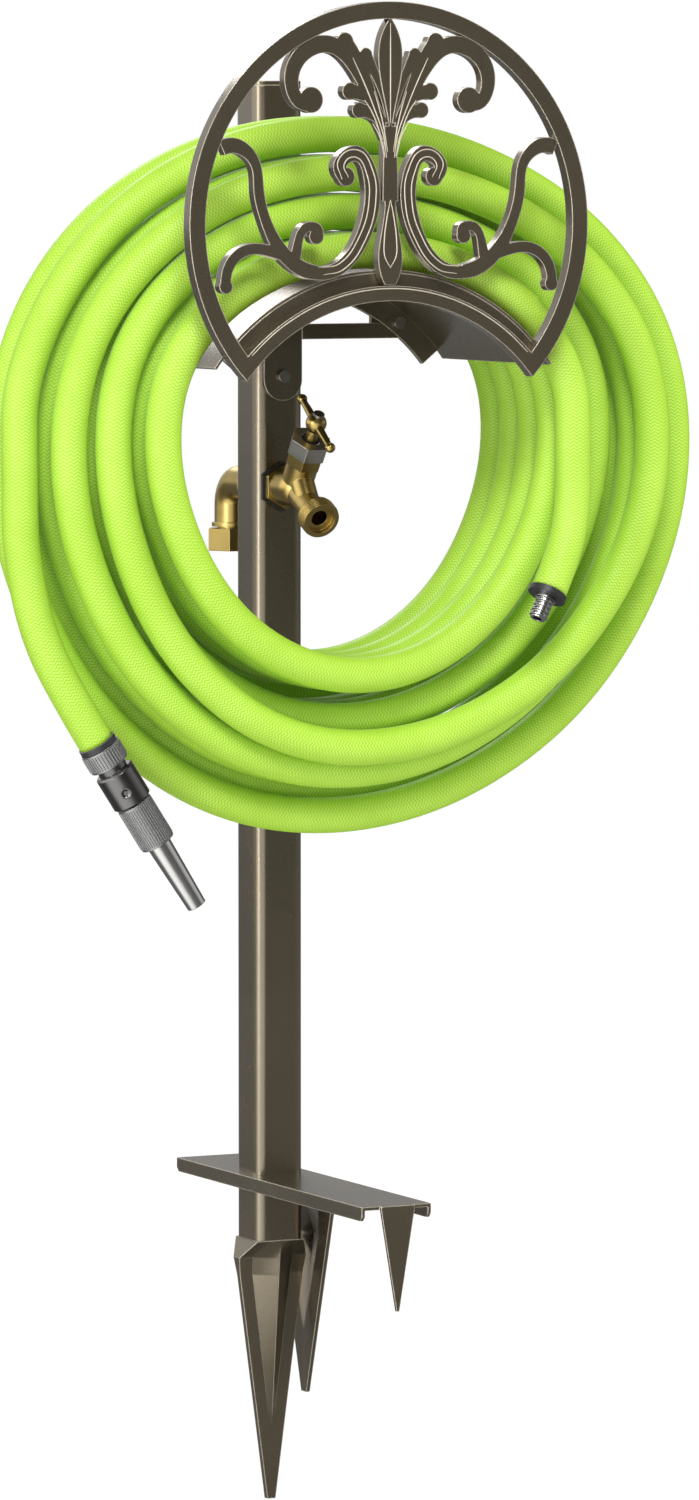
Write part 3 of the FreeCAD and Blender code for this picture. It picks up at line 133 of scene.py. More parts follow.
class HoseStandTrim(bpy.types.PropertyGroup):
    """Sizes of the fine trim."""
    line_radius: length_property("Line radius", "Raised lines on the ornament", 0.45 * MM)
    collar_diameter: length_property("Collar diameter", "Ribbed collar of the nozzle", 28.5 * MM)
    collar_length: length_property("Collar length", "Ribbed collar of the nozzle", 14.0 * MM)
    collar_ribs: IntProperty(name="Collar ribs", description="Ribs round the collar", default=40, min=12)
    sleeve_diameter: length_property("Sleeve diameter", "Ribbed twist sleeve of the nozzle", 25.0 * MM)
    sleeve_length: length_property("Sleeve length", "Ribbed twist sleeve of the nozzle", 34.0 * MM)
    sleeve_ribs: IntProperty(name="Sleeve ribs", description="Ribs round the sleeve", default=44, min=12)
    body_diameter: length_property("Body diameter", "Smooth body of the nozzle", 28.5 * MM)
    dimple_radius: length_property("Dimple radius", "Round dimple on the nozzle's body", 4.0 * MM)
    dimple_along: length_property("Dimple along", "Dimple from the collar's start", 34.5 * MM)


def settings(name):
    return getattr(bpy.context.scene, "hose_stand_" + name)


# Node trees.

class Tree:
    """Short words for building a node tree."""

    def __init__(self, tree):
        self.tree = tree

    def add(self, kind, **values):
        """Adds a node; capitalised names set input sockets, the others set the node's own values."""
        made = self.tree.nodes.new("ShaderNode" + kind)
        for key, value in values.items():
            if key[0].isupper():
                self.put(made.inputs[key.replace("_", " ")], value)
            else:
                setattr(made, key, value)
        return made

    def put(self, socket, value):
        if isinstance(value, bpy.types.NodeSocket):
            self.tree.links.new(value, socket)
        else:
            socket.default_value = value

    def maths(self, operation, *values, clamp=False):
        made = self.add("Math", operation=operation, use_clamp=clamp)
        for socket, value in zip(made.inputs, values):
            self.put(socket, value)
        return made.outputs[0]

    def blend(self, factor, first, second):
        """Mixes two colours."""
        made = self.add("Mix", data_type="RGBA")
        self.put(made.inputs[0], factor)
        for socket, value in ((made.inputs[6], first), (made.inputs[7], second)):
            self.put(socket, value if isinstance(value, bpy.types.NodeSocket) else (*value, 1.0))
        return made.outputs[2]

    def span(self, value, low, high):
        """Moves a 0 to 1 value into low to high."""
        made = self.add("MapRange", To_Min=low, To_Max=high)
        self.put(made.inputs[0], value)
        return made.outputs[0]


def new_group(name, inputs, outputs):
    """An empty shader group with its sockets; returns its tree, input node and output node."""
    tree = bpy.data.node_groups.new(name, "ShaderNodeTree")
    for label, default in inputs:
        socket = tree.interface.new_socket(label, in_out="INPUT", socket_type="NodeSocketFloat")
        socket.default_value = default
    for label, kind in outputs:
        tree.interface.new_socket(label, in_out="OUTPUT", socket_type="NodeSocket" + kind)
    work = Tree(tree)
    return work, tree.nodes.new("NodeGroupInput").outputs, tree.nodes.new("NodeGroupOutput").inputs


def grain_group():
    """Cloudy colour change and a fine grain, both on Object coordinates."""
    work, given, out = new_group("Grain", [("Cloud Scale", 12.0), ("Grain Scale", 900.0)],
                                 [("Cloud", "Float"), ("Grain", "Float")])
    place = work.add("TexCoord").outputs["Object"]
    cloud = work.add("TexNoise", Vector=place, Scale=given[0], Detail=4.0, Roughness=0.6)
    grain = work.add("TexNoise", Vector=place, Scale=given[1], Detail=2.0, Roughness=0.5)
    work.put(out[0], cloud.outputs[0])
    work.put(out[1], grain.outputs[0])
    return work.tree


def edge_highlight_group():
    """A mask of the edges for a painted highlight along them, and the normal rounded over them."""
    work, given, out = new_group("Edge Highlight", [("Width", 0.0011), ("Strength", 2.4)],
                                 [("Mask", "Float"), ("Rounded", "Vector")])
    rounded = work.add("Bevel", samples=6, Radius=given[0])
    flat = work.add("NewGeometry").outputs["Normal"]
    match = work.add("VectorMath", operation="DOT_PRODUCT")
    work.put(match.inputs[0], rounded.outputs[0])
    work.put(match.inputs[1], flat)
    # Painted highlight: the further the rounded normal turns from the face, the more pale colour an edge gets.
    highlight_share = work.maths("SUBTRACT", 0.985, match.outputs["Value"], clamp=True)
    work.put(out[0], work.maths("MULTIPLY", highlight_share, given[1], clamp=True))
    work.put(out[1], rounded.outputs[0])
    return work.tree


def brushed_group():
    """Fine turned lines along one axis, for machined metal."""
    work, given, out = new_group("Turned Lines", [("Scale", 160.0)], [("Lines", "Float")])
    place = work.add("TexCoord").outputs["Object"]
    stretched = work.add("Mapping", Vector=place, Scale=(0.35, 1.0, 4.0))
    lines = work.add("TexNoise", Vector=stretched.outputs[0], Scale=given[0], Detail=3.0, Roughness=0.7)
    work.put(out[0], lines.outputs[0])
    return work.tree


def new_material(name):
    """A material with its Principled shader; returns the material, its tree and the shader's inputs."""
    made = bpy.data.materials.new(name)
    made.use_nodes = True
    shader = made.node_tree.nodes["Principled BSDF"]
    return made, Tree(made.node_tree), shader.inputs


def place_group(work, tree, **values):
    made = work.tree.nodes.new("ShaderNodeGroup")
    made.node_tree = tree
    for key, value in values.items():
        made.inputs[key.replace("_", " ")].default_value = value
    return made.outputs


def bump(work, shader, height, strength, distance):
    raised = work.add("Bump", Strength=strength, Distance=distance, Height=height)
    work.put(shader["Normal"], raised.outputs[0])
    return raised


def bronze_material(groups):
    """Satin antique bronze paint, with a painted highlight: pale colour along its edges."""
    colours = settings("colours")
    made, work, shader = new_material("Bronze Paint")
    grain = place_group(work, groups["grain"], Cloud_Scale=9.0, Grain_Scale=700.0)
    edge = place_group(work, groups["edge"], Width=0.0013, Strength=5.0)
    dark = [value * 0.78 for value in colours.bronze]
    light = [value * 1.22 for value in colours.bronze]
    coat = work.blend(grain["Cloud"], dark, light)
    # Painted highlight: pale colour and less metal along the edges.
    work.put(shader["Base Color"], work.blend(edge["Mask"], coat, colours.bronze_edge_highlight))
    work.put(shader["Metallic"], work.span(edge["Mask"], 0.80, 0.15))
    work.put(shader["Roughness"], work.span(grain["Cloud"], 0.22, 0.32))
    shader["Coat Weight"].default_value = 0.6
    shader["Coat Roughness"].default_value = 0.20
    raised = bump(work, shader, grain["Grain"], 0.12, 0.0004)
    work.put(raised.inputs["Normal"], edge["Rounded"])
    return made


def highlight_line_material(groups):
    """The same paint made pale on raised lines, as a painted highlight."""
    made, work, shader = new_material("Bronze Line Highlight")
    grain = place_group(work, groups["grain"], Cloud_Scale=40.0, Grain_Scale=900.0)
    pale = settings("colours").bronze_edge_highlight
    work.put(shader["Base Color"], work.blend(grain["Cloud"], [value * 0.6 for value in pale], pale))
    work.put(shader["Roughness"], work.span(grain["Cloud"], 0.28, 0.42))
    shader["Metallic"].default_value = 0.25
    bump(work, shader, grain["Grain"], 0.10, 0.0002)
    return made


def metal_material(groups, name, colour, rough, tarnish=0.7, lines=0.10):
    """Bare metal with turned lines, darker where it is dull, and paler along its edges as a painted highlight."""
    made, work, shader = new_material(name)
    grain = place_group(work, groups["grain"], Cloud_Scale=60.0, Grain_Scale=1400.0)
    edge = place_group(work, groups["edge"], Width=0.0006, Strength=1.6)
    turned = place_group(work, groups["turned"], Scale=240.0)
    dull = work.blend(grain["Cloud"], [value * tarnish for value in colour], colour)
    # Painted highlight: a paler copy of the colour along the edges.
    bright = [min(1.0, value * 1.35 + 0.04) for value in colour]
    work.put(shader["Base Color"], work.blend(edge["Mask"], dull, bright))
    shader["Metallic"].default_value = 1.0
    work.put(shader["Roughness"], work.span(grain["Cloud"], rough * 0.8, rough * 1.25))
    raised = bump(work, shader, turned["Lines"], lines, 0.0003)
    work.put(raised.inputs["Normal"], edge["Rounded"])
    return made


def soft_black_material(groups, name, colour, rough):
    """Moulded rubber or plastic."""
    made, work, shader = new_material(name)
    grain = place_group(work, groups["grain"], Cloud_Scale=70.0, Grain_Scale=1200.0)
    work.put(shader["Base Color"], work.blend(grain["Cloud"], colour, [value * 2.2 for value in colour]))
    work.put(shader["Roughness"], work.span(grain["Cloud"], rough - 0.08, rough + 0.08))
    bump(work, shader, grain["Grain"], 0.18, 0.0003)
    return made


HOSE_MAP = "HoseMap"
BRAID_ZIGZAGS = 16.0
BRAID_ROWS_PER_METRE = 400.0
BRAID_LEAN = 1.6


def hose_material(groups):
    """Clear green outer layer over a braid in zigzag rows, on the hose's own map; the pale braid shows most where
    the hose faces the camera, partly as a clear layer and partly as a painted sheen.
    """
    colours = settings("colours")
    made, work, shader = new_material("Green Hose")
    place = work.add("SeparateXYZ", Vector=work.add("UVMap", uv_map=HOSE_MAP).outputs[0])
    round_it, along = place.outputs[0], place.outputs[1]
    zigzag = work.maths("PINGPONG", work.maths("MULTIPLY", round_it, BRAID_ZIGZAGS), 0.5)
    lean = work.maths("MULTIPLY", zigzag, BRAID_LEAN)
    row = work.maths("MULTIPLY_ADD", along, BRAID_ROWS_PER_METRE, lean)
    wave = work.maths("SINE", work.maths("MULTIPLY", row, 2.0 * math.pi))
    weave = work.maths("MULTIPLY_ADD", wave, 0.5, 0.5)
    grain = place_group(work, groups["grain"], Cloud_Scale=14.0, Grain_Scale=420.0)
    patch = work.maths("MULTIPLY", work.span(grain["Cloud"], 0.25, 1.0), weave)
    deep = [value * 0.82 for value in colours.hose_green]
    green = work.blend(grain["Cloud"], deep, colours.hose_green)
    # Partly painted sheen: the pale braid is strongest where the hose faces the camera and fades towards its
    # outline, standing for the broad highlight as well as the clear layer.
    aside = work.add("LayerWeight", Blend=0.5).outputs["Facing"]
    braid_and_sheen = work.maths("MULTIPLY", patch, work.span(aside, 0.95, 0.10))
    work.put(shader["Base Color"], work.blend(braid_and_sheen, green, colours.hose_thread))
    work.put(shader["Roughness"], work.span(patch, 0.50, 0.38))
    shader["Specular IOR Level"].default_value = 0.22
    bump(work, shader, weave, 0.10, 0.0004)
    return made


# Modelling.

def deselect():
    if bpy.context.object and bpy.context.object.mode != "OBJECT":
        bpy.ops.object.mode_set(mode="OBJECT")
    bpy.ops.object.select_all(action="DESELECT")


def give(piece, material):
    piece.data.materials.clear()
    piece.data.materials.append(material)


def give_nodes(names, material):
    """Puts a finish on CAD nodes."""
    for name in names:
        give(NODES[name], material)


def shared_groups():
    """The node groups, built once."""
    made = {}
    for key, name, build in (("grain", "Grain", grain_group), ("edge", "Edge Highlight", edge_highlight_group),
                             ("turned", "Turned Lines", brushed_group)):
        made[key] = bpy.data.node_groups.get(name) or build()
    return made


class HOSESTAND_OT_finish_metalwork(bpy.types.Operator):
    """Paint the post, plate, saddle, ring and scrolls, and finish the screws"""
    bl_idname = "hosestand.finish_metalwork"
    bl_label = "Finish Metalwork"

    def execute(self, context):
        groups = shared_groups()
        colours = settings("colours")
        give_nodes(PAINTED, bronze_material(groups))
        give_nodes(SCREWS, metal_material(groups, "Zinc Screws", colours.zinc, 0.34))
        return {"FINISHED"}


class HOSESTAND_OT_finish_tap(bpy.types.Operator):
    """Finish the tap, the inlet and their washers"""
    bl_idname = "hosestand.finish_tap"
    bl_label = "Finish Tap"

    def execute(self, context):
        groups = shared_groups()
        colours = settings("colours")
        give_nodes(BRASS, metal_material(groups, "Satin Brass", colours.brass, 0.32))
        give_nodes(NICKEL, metal_material(groups, "Satin Nickel", colours.nickel, 0.30))
        give_nodes(RUBBER, soft_black_material(groups, "Black Rubber", colours.rubber, 0.62))
        return {"FINISHED"}


class HOSESTAND_OT_finish_nozzle(bpy.types.Operator):
    """Finish the nozzle and the fittings on the hose"""
    bl_idname = "hosestand.finish_nozzle"
    bl_label = "Finish Nozzle"

    def execute(self, context):
        groups = shared_groups()
        colours = settings("colours")
        give_nodes(FERRULES, soft_black_material(groups, "Black Plastic", colours.plastic, 0.45))
        give_nodes(STEEL, metal_material(groups, "Bright Steel", colours.steel, 0.20, 0.86))
        give_nodes(RIBBED, metal_material(groups, "Ribbed Steel", colours.ribbed, 0.46, 0.9, 0.0))
        give_nodes(GUNMETAL, metal_material(groups, "Gunmetal", colours.gunmetal, 0.26, 0.8))
        return {"FINISHED"}


# Raised lines on the ornament, in millimetres from the ring's centre: across and up.
FAN_LINES = (((29, 115), (20.5, 98), (12.5, 80), (5, 60), (3, 46)),
             ((12.5, 92), (8.6, 80), (5, 66), (2.2, 50)),
             ((20, 86), (14.5, 78), (8.5, 64), (4, 47)),
             ((14, 70), (9, 62), (4.6, 46)))
LEAF_LINE = ((0, 139), (0, 121), (0, 92), (0, 70))
DROP_LINE = ((0, 17), (2.6, 5), (4.8, -12), (4.4, -22), (0, -30))
INNER_SCROLL = ((52, -32), (38, -29), (21, -8), (14, 16), (16, 36), (26, 49), (38, 43), (35, 32))
SCROLL_LINE_SPREAD = 2.6
RING_CENTER = 694.0
SCROLL_FRONT = -195.0
MOUTH_CENTER = 501.0
MOUTH_FRONT = -196.0
MOUTH_RADIUS = 148.6
MOUTH_REACH = 46.0
MOUTH_STEPS = 6


def beside(points, spread):
    """The points moved sideways from their line."""
    moved = []
    for index, point in enumerate(points):
        before = points[max(index - 1, 0)]
        after = points[min(index + 1, len(points) - 1)]
        along = (Vector(after) - Vector(before)).normalized()
        moved.append((point[0] - along.y * spread, point[1] + along.x * spread))
    return moved


def raised_line(points, front, radius):
    """A thin round line along points of a flat front, with fading ends."""
    deselect()
    bpy.ops.curve.primitive_bezier_curve_add(location=(0.0, 0.0, 0.0))
    line = bpy.context.object
    knots = line.data.splines[0].bezier_points
    knots.add(len(points) - 2)
    for knot, (across, level) in zip(knots, points):
        knot.co = Vector((across, front, level)) * MM
        knot.handle_left_type = "AUTO"
        knot.handle_right_type = "AUTO"
        knot.radius = 1.0
    knots[0].radius = 0.5
    knots[-1].radius = 0.5
    line.data.resolution_u = 8
    line.data.bevel_depth = radius
    line.data.bevel_resolution = 2
    line.data.use_fill_caps = True
    bpy.ops.object.convert(target="MESH")
    return bpy.context.object


def ornament_strokes():
    """Every raised line of the ornament, across and up from the ring's centre."""
    strokes = [LEAF_LINE]
    for side in (-1, 1):
        sides = [*FAN_LINES, DROP_LINE]
        sides += [beside(INNER_SCROLL, spread) for spread in (-SCROLL_LINE_SPREAD, SCROLL_LINE_SPREAD)]
        strokes += [[(side * across, up) for across, up in stroke] for stroke in sides]
    return strokes


def mouth_arc():
    """The raised line along the ring's concave lower band, across and up from the ground."""
    steps = range(-MOUTH_STEPS, MOUTH_STEPS + 1)
    angles = [math.radians(MOUTH_REACH * step / MOUTH_STEPS) for step in steps]
    return [(MOUTH_RADIUS * math.sin(angle), MOUTH_CENTER + MOUTH_RADIUS * math.cos(angle))
            for angle in angles]


class HOSESTAND_OT_raise_ornament(bpy.types.Operator):
    """Raise the fine lines of the leaf, the scrolls and the ring's lower band"""
    bl_idname = "hosestand.raise_ornament"
    bl_label = "Raise Ornament"

    def execute(self, context):
        radius = settings("trim").line_radius
        lines = []
        for stroke in ornament_strokes():
            placed = [(across, up + RING_CENTER) for across, up in stroke]
            lines.append(raised_line(placed, SCROLL_FRONT, radius))
        lines.append(raised_line(mouth_arc(), MOUTH_FRONT, radius))
        deselect()
        for line in lines:
            line.select_set(True)
        context.view_layer.objects.active = lines[0]
        bpy.ops.object.join()
        piece = context.object
        piece.name = "ornament_lines"
        # The raised lines take the pale paint of a painted highlight.
        give(piece, highlight_line_material(shared_groups()))
        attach(piece, "stand")
        return {"FINISHED"}


# Knurls, thread and dimple. A rib's depth, width and bevel, and a ring's thickness, are parts of the pitch.
RIB_DEPTH = 0.5
RIB_WIDTH = 0.55
RIB_BEVEL = 0.14
COLLAR_MARGIN = 0.0011
SLEEVE_MARGIN = 0.0014
THREAD_TURNS = 5
THREAD_SHARE = 0.8
THREAD_THICKNESS = 0.28
DIMPLE_HEIGHT = 0.0012
DIMPLE_SINK = 0.0003
FRONT_LEFT = (-0.44, -0.90, 0.0)


def turn_to(piece, place, axis):
    """Moves a piece modelled along +Z to its place and applies it."""
    piece.location = place
    piece.rotation_euler = Vector(axis).to_track_quat("Z", "Y").to_euler()
    deselect()
    piece.select_set(True)
    bpy.context.view_layer.objects.active = piece
    bpy.ops.object.transform_apply(location=True, rotation=True, scale=True)


def knurl(name, radius, length, count, margin):
    """Straight ribs round a cylinder that starts at the origin, along +Z."""
    pitch = 2 * math.pi * radius / count
    deselect()
    bpy.ops.mesh.primitive_cube_add(size=1.0, location=(radius, 0.0, length / 2),
                                    scale=(pitch * RIB_DEPTH, pitch * RIB_WIDTH, length - margin * 2))
    piece = bpy.context.object
    piece.name = name
    bpy.ops.object.transform_apply(location=True, rotation=True, scale=True)
    bpy.ops.object.mode_set(mode="EDIT")
    bpy.ops.mesh.select_all(action="SELECT")
    bpy.ops.mesh.bevel(offset=pitch * RIB_BEVEL, segments=1, affect="EDGES")
    bpy.ops.mesh.select_all(action="SELECT")
    bpy.ops.mesh.spin(steps=count - 1, dupli=True, angle=2 * math.pi * (count - 1) / count,
                      center=(0.0, 0.0, 0.0), axis=(0.0, 0.0, 1.0))
    bpy.ops.object.mode_set(mode="OBJECT")
    return piece


def thread_rings(name, radius, length, count):
    """Rings round a cylinder centred on the origin, along Z."""
    pitch = length / count
    deselect()
    bpy.ops.mesh.primitive_torus_add(location=(0.0, 0.0, pitch * (1 - count) / 2), major_segments=72,
                                     minor_segments=8, major_radius=radius,
                                     minor_radius=pitch * THREAD_THICKNESS)
    piece = bpy.context.object
    piece.name = name
    bpy.ops.object.transform_apply(location=True, rotation=True, scale=True)
    row = piece.modifiers.new("Row", "ARRAY")
    row.count = count
    row.use_relative_offset = False
    row.use_constant_offset = True
    row.constant_offset_displace = (0.0, 0.0, pitch)
    bpy.ops.object.modifier_apply(modifier="Row")
    bpy.ops.object.shade_smooth()
    return piece


def dimple(name, radius, height):
    """A round boss with a sunk middle, on the origin and facing +Z."""
    deselect()
    bpy.ops.mesh.primitive_circle_add(vertices=40, radius=radius, fill_type="NGON")
    piece = bpy.context.object
    piece.name = name
    bpy.ops.object.mode_set(mode="EDIT")
    bpy.ops.mesh.select_all(action="SELECT")
    bpy.ops.mesh.extrude_region_move(TRANSFORM_OT_translate={"value": (0.0, 0.0, height)})
    bpy.ops.mesh.inset(thickness=radius * 0.2, depth=0.0)
    bpy.ops.mesh.inset(thickness=radius * 0.25, depth=-height * 0.7)
    bpy.ops.mesh.inset(thickness=radius * 0.3, depth=-height * 0.15)
    bpy.ops.object.mode_set(mode="OBJECT")
    bpy.ops.object.shade_smooth_by_angle(angle=math.radians(35))
    return piece


class HOSESTAND_OT_trim_fittings(bpy.types.Operator):
    """Knurl the nozzle, thread the tap's outlet and set the nozzle's dimple"""
    bl_idname = "hosestand.trim_fittings"
    bl_label = "Trim Fittings"

    def execute(self, context):
        trim = settings("trim")
        collar = JOINTS["nozzle_collar_spin"]
        sleeve = JOINTS["sleeve_twist"]
        outlet = MOUNTS["faucet_outlet"]
        outlet_radius = outlet["dims"]["r_mm"] * MM
        outlet_length = outlet["dims"]["length_mm"] * MM
        axis = Vector(collar["axis"])
        pieces = (
            (knurl("collar_ribs", trim.collar_diameter / 2, trim.collar_length, trim.collar_ribs,
                   COLLAR_MARGIN),
             collar["pos_m"], axis, "nozzle_collar", "nozzle_coupling", "steel"),
            (knurl("sleeve_ribs", trim.sleeve_diameter / 2, trim.sleeve_length, trim.sleeve_ribs,
                   SLEEVE_MARGIN),
             sleeve["pos_m"], axis, "nozzle_sleeve", "nozzle_grip", "steel"),
            (thread_rings("outlet_thread", outlet_radius, outlet_length * THREAD_SHARE, THREAD_TURNS),
             outlet["pos_m"], Vector(outlet["axis"]), "tap_body", "stand", "brass"),
            (dimple("body_dimple", trim.dimple_radius, DIMPLE_HEIGHT), self.dimple_place(trim, collar, axis),
             self.facing(axis), "nozzle_body", "stand", "gunmetal"))
        for piece, place, along, like, body, slot in pieces:
            turn_to(piece, place, along)
            give(piece, NODES[like].data.materials[0])
            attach(piece, body)
        return {"FINISHED"}

    @staticmethod
    def facing(axis):
        """Square to the nozzle, towards the front left."""
        front_left = Vector(FRONT_LEFT)
        return (front_left - axis * front_left.dot(axis)).normalized()

    def dimple_place(self, trim, collar, axis):
        """On the nozzle's body, a little sunk."""
        start = Vector(collar["pos_m"])
        return start + axis * trim.dimple_along + self.facing(axis) * (trim.body_diameter / 2 - DIMPLE_SINK)


# The hose.

QUARTER_TURNS = (18, 14, 10, 6)
TURN_STEPS = (1.0 / 6.0, 0.5, 5.0 / 6.0)
OUTSIDE_CURVE = 1.035
INNER_STEPS = ((-25, -11, -95.4), (-8, -5, -66.6), (0, 0, -34), (0, 0, 0))
NOZZLE_STEPS = ((0, 0, 0), (0, 0, -46), (13, -1, -107), (40.8, -2, -157), (56, -2.6, -180.5))


def wound_stations(hose):
    """Layer and depth at each quarter turn."""
    depth = -hose.first
    forward = 1
    stations = [(0.0, depth)]
    for layer, count in enumerate(QUARTER_TURNS):
        for _ in range(count):
            depth += forward * hose.pitch / 4
            stations.append((float(layer), depth))
        if layer + 1 < len(QUARTER_TURNS):
            depth += forward * hose.turn_back
            stations += [(layer + 0.5, depth), (layer + 1.0, depth)]
        forward = -forward
    return stations


def loop_point(hose, turn, layer, depth):
    """A point on a hanging loop; turn counts quarters from the right, over the top."""
    level = hose.top - hose.shoulder - layer * hose.sink
    up = math.sin(turn * math.pi / 2)
    across = math.cos(turn * math.pi / 2)
    reach = hose.top + layer * hose.rise - level
    if up < 0:
        reach = level - hose.bottom + layer * hose.drop
    widen = hose.right_widen if across > 0 else hose.widen
    half = hose.half_width + layer * widen
    return Vector((half * across * OUTSIDE_CURVE, depth, level + reach * up * OUTSIDE_CURVE))


def hose_route(hose):
    """The hose's control points, from its inner end to its nozzle."""
    stations = wound_stations(hose)
    start_level = hose.top - hose.shoulder - hose.diameter
    start = Vector((hose.half_width, stations[0][1], start_level))
    points = [start + Vector(step) * MM for step in INNER_STEPS]
    for quarter, (before, after) in enumerate(zip(stations, stations[1:])):
        for step in TURN_STEPS:
            ease = step * step * (3 - 2 * step)
            layer = before[0] + (after[0] - before[0]) * ease
            depth = before[1] + (after[1] - before[1]) * step
            points.append(loop_point(hose, quarter + step, layer, depth))
    last = len(QUARTER_TURNS) - 1
    end = Vector((-hose.half_width - last * hose.widen, stations[-1][1],
                  hose.top - hose.shoulder - last * hose.sink - hose.diameter))
    return points + [end + Vector(step) * MM for step in NOZZLE_STEPS]


def smooth_line(points, name):
    """Points read from one NURBS spline through the route."""
    curve = bpy.data.curves.new(name, "CURVE")
    curve.dimensions = "3D"
    spline = curve.splines.new("NURBS")
    spline.points.add(len(points) - 1)
    for control, point in zip(spline.points, points):
        control.co = (*point, 1.0)
    spline.order_u = 3
    spline.use_endpoint_u = True
    spline.resolution_u = 14
    carrier = bpy.data.objects.new(name, curve)
    bpy.context.scene.collection.objects.link(carrier)
    line = bpy.data.meshes.new_from_object(carrier)
    path = [vertex.co.copy() for vertex in line.vertices]
    bpy.data.objects.remove(carrier)
    bpy.data.curves.remove(curve)
    bpy.data.meshes.remove(line)
    return path


def tube_mesh(name, path, radius, sides):
    """A round tube along a path, with a map of turns across and metres along."""
    mesh = bpy.data.meshes.new(name)
    work = bmesh.new()
    chart = work.loops.layers.uv.new(HOSE_MAP)
    count = len(path)
    tangents = [(path[min(i + 1, count - 1)] - path[max(i - 1, 0)]).normalized() for i in range(count)]
    side = tangents[0].orthogonal().normalized()
    rings = []
    lengths = [0.0]
    for index, (point, tangent) in enumerate(zip(path, tangents)):
        side = (side - tangent * side.dot(tangent)).normalized()
        other = tangent.cross(side)
        angles = [2 * math.pi * step / sides for step in range(sides)]
        rings.append([work.verts.new(point + (side * math.cos(a) + other * math.sin(a)) * radius)
                      for a in angles])
        if index:
            lengths.append(lengths[-1] + (point - path[index - 1]).length)
    for index in range(count - 1):
        for step in range(sides):
            after = (step + 1) % sides
            face = work.faces.new((rings[index][step], rings[index][after],
                                   rings[index + 1][after], rings[index + 1][step]))
            face.smooth = True
            turns = (step / sides, (step + 1) / sides, (step + 1) / sides, step / sides)
            metres = (lengths[index], lengths[index], lengths[index + 1], lengths[index + 1])
            for loop, turn, metre in zip(face.loops, turns, metres):
                loop[chart].uv = (turn, metre)
    work.faces.new(list(reversed(rings[0])))
    work.faces.new(rings[-1])
    work.to_mesh(mesh)
    work.free()
    return mesh, lengths[-1]


class HOSESTAND_OT_wind_hose(bpy.types.Operator):
    """Wind the hose over the saddle, with its two free ends"""
    bl_idname = "hosestand.wind_hose"
    bl_label = "Wind Hose"

    def execute(self, context):
        hose = settings("hose")
        path = smooth_line(hose_route(hose), "hose_line")
        mesh, length = tube_mesh("hose", path, hose.diameter / 2, hose.sides)
        piece = bpy.data.objects.new("hose", mesh)
        context.scene.collection.objects.link(piece)
        piece.visible_glossy = False
        give(piece, hose_material(shared_groups()))
        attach(piece, "stand")
        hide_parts("hose_coil", "hose_inner_tail", "hose_nozzle_tail")
        return {"FINISHED"}


# The studio. Strengths of the room's light and of the floor's, looked at and in what shines.
ROOM_LIGHT = 0.48
ROOM_SHINE = 0.13
FLOOR_SEEN = 1.06
FLOOR_SHINE = 0.14
FLOOR_GLOW_SHARE = 0.90


def area_light(name, place, target, size, power, in_shine=True):
    """A soft lamp turned to its target; out of the shine, it lights without being mirrored."""
    deselect()
    bpy.ops.object.light_add(type="AREA", location=place)
    lamp = bpy.context.object
    lamp.name = name
    lamp.data.shape = "RECTANGLE"
    lamp.data.size, lamp.data.size_y = size
    lamp.data.energy = power
    lamp.visible_glossy = in_shine
    lamp.rotation_euler = (Vector(target) - Vector(place)).to_track_quat("-Z", "Y").to_euler()


def ramp(work, value, low, high, most):
    """Nothing at low, most at high, and even between."""
    made = work.add("MapRange", From_Min=low, From_Max=high, To_Min=0.0, To_Max=most)
    work.put(made.inputs[0], value)
    return made.outputs[0]


def room_strength(work):
    """White where it is looked at; in what shines, bright on the left and dim behind on the right."""
    ray = work.add("LightPath").outputs
    across, back, _ = work.add("SeparateXYZ", Vector=work.add("TexCoord").outputs["Generated"]).outputs
    behind = work.maths("MULTIPLY", ramp(work, back, -0.85, 0.35, 0.62), ramp(work, across, 0.55, 0.15, 1.0))
    right = work.maths("MULTIPLY", ramp(work, across, 0.55, 0.90, 0.8), ramp(work, back, 0.10, -0.15, 1.0))
    left = ramp(work, across, -0.50, -0.80, 1.8)
    room = work.maths("ADD", work.maths("ADD", behind, right), left)
    shiny = work.maths("MULTIPLY", ray["Is Glossy Ray"], work.maths("ADD", room, ROOM_SHINE))
    looked = work.maths("MAXIMUM", ray["Is Camera Ray"], ray["Is Transmission Ray"])
    rest = work.maths("SUBTRACT", 1.0, work.maths("MAXIMUM", looked, ray["Is Glossy Ray"]))
    lit = work.maths("MULTIPLY_ADD", rest, ROOM_LIGHT, shiny)
    return work.maths("ADD", lit, looked)


def floor_material():
    """White floor that keeps a faint shadow; in what shines, it is bright at the front left."""
    made, work, shader = new_material("Studio Floor")
    shader["Base Color"].default_value = (0.9, 0.9, 0.9, 1.0)
    shader["Roughness"].default_value = 0.9
    shader["Specular IOR Level"].default_value = 0.0
    ray = work.add("LightPath").outputs
    looked = work.maths("MAXIMUM", ray["Is Camera Ray"], ray["Is Transmission Ray"])
    across, back, _ = work.add("SeparateXYZ", Vector=work.add("NewGeometry").outputs["Position"]).outputs
    near = work.maths("MULTIPLY", ramp(work, across, -0.28, -0.46, 2.3), ramp(work, back, 0.08, -0.20, 1.0))
    shine = work.maths("MULTIPLY", work.maths("SUBTRACT", 1.0, looked), work.maths("ADD", near, FLOOR_SHINE))
    strength = work.maths("MULTIPLY_ADD", looked, FLOOR_SEEN, shine)
    glow = work.add("Emission", Color=(1.0, 1.0, 1.0, 1.0), Strength=strength)
    mixed = work.add("MixShader")
    share = work.maths("MULTIPLY", work.maths("MAXIMUM", looked, ray["Is Glossy Ray"]), FLOOR_GLOW_SHARE)
    work.put(mixed.inputs[0], share)
    work.put(mixed.inputs[1], made.node_tree.nodes["Principled BSDF"].outputs[0])
    work.put(mixed.inputs[2], glow.outputs[0])
    work.put(made.node_tree.nodes["Material Output"].inputs[0], mixed.outputs[0])
    return made


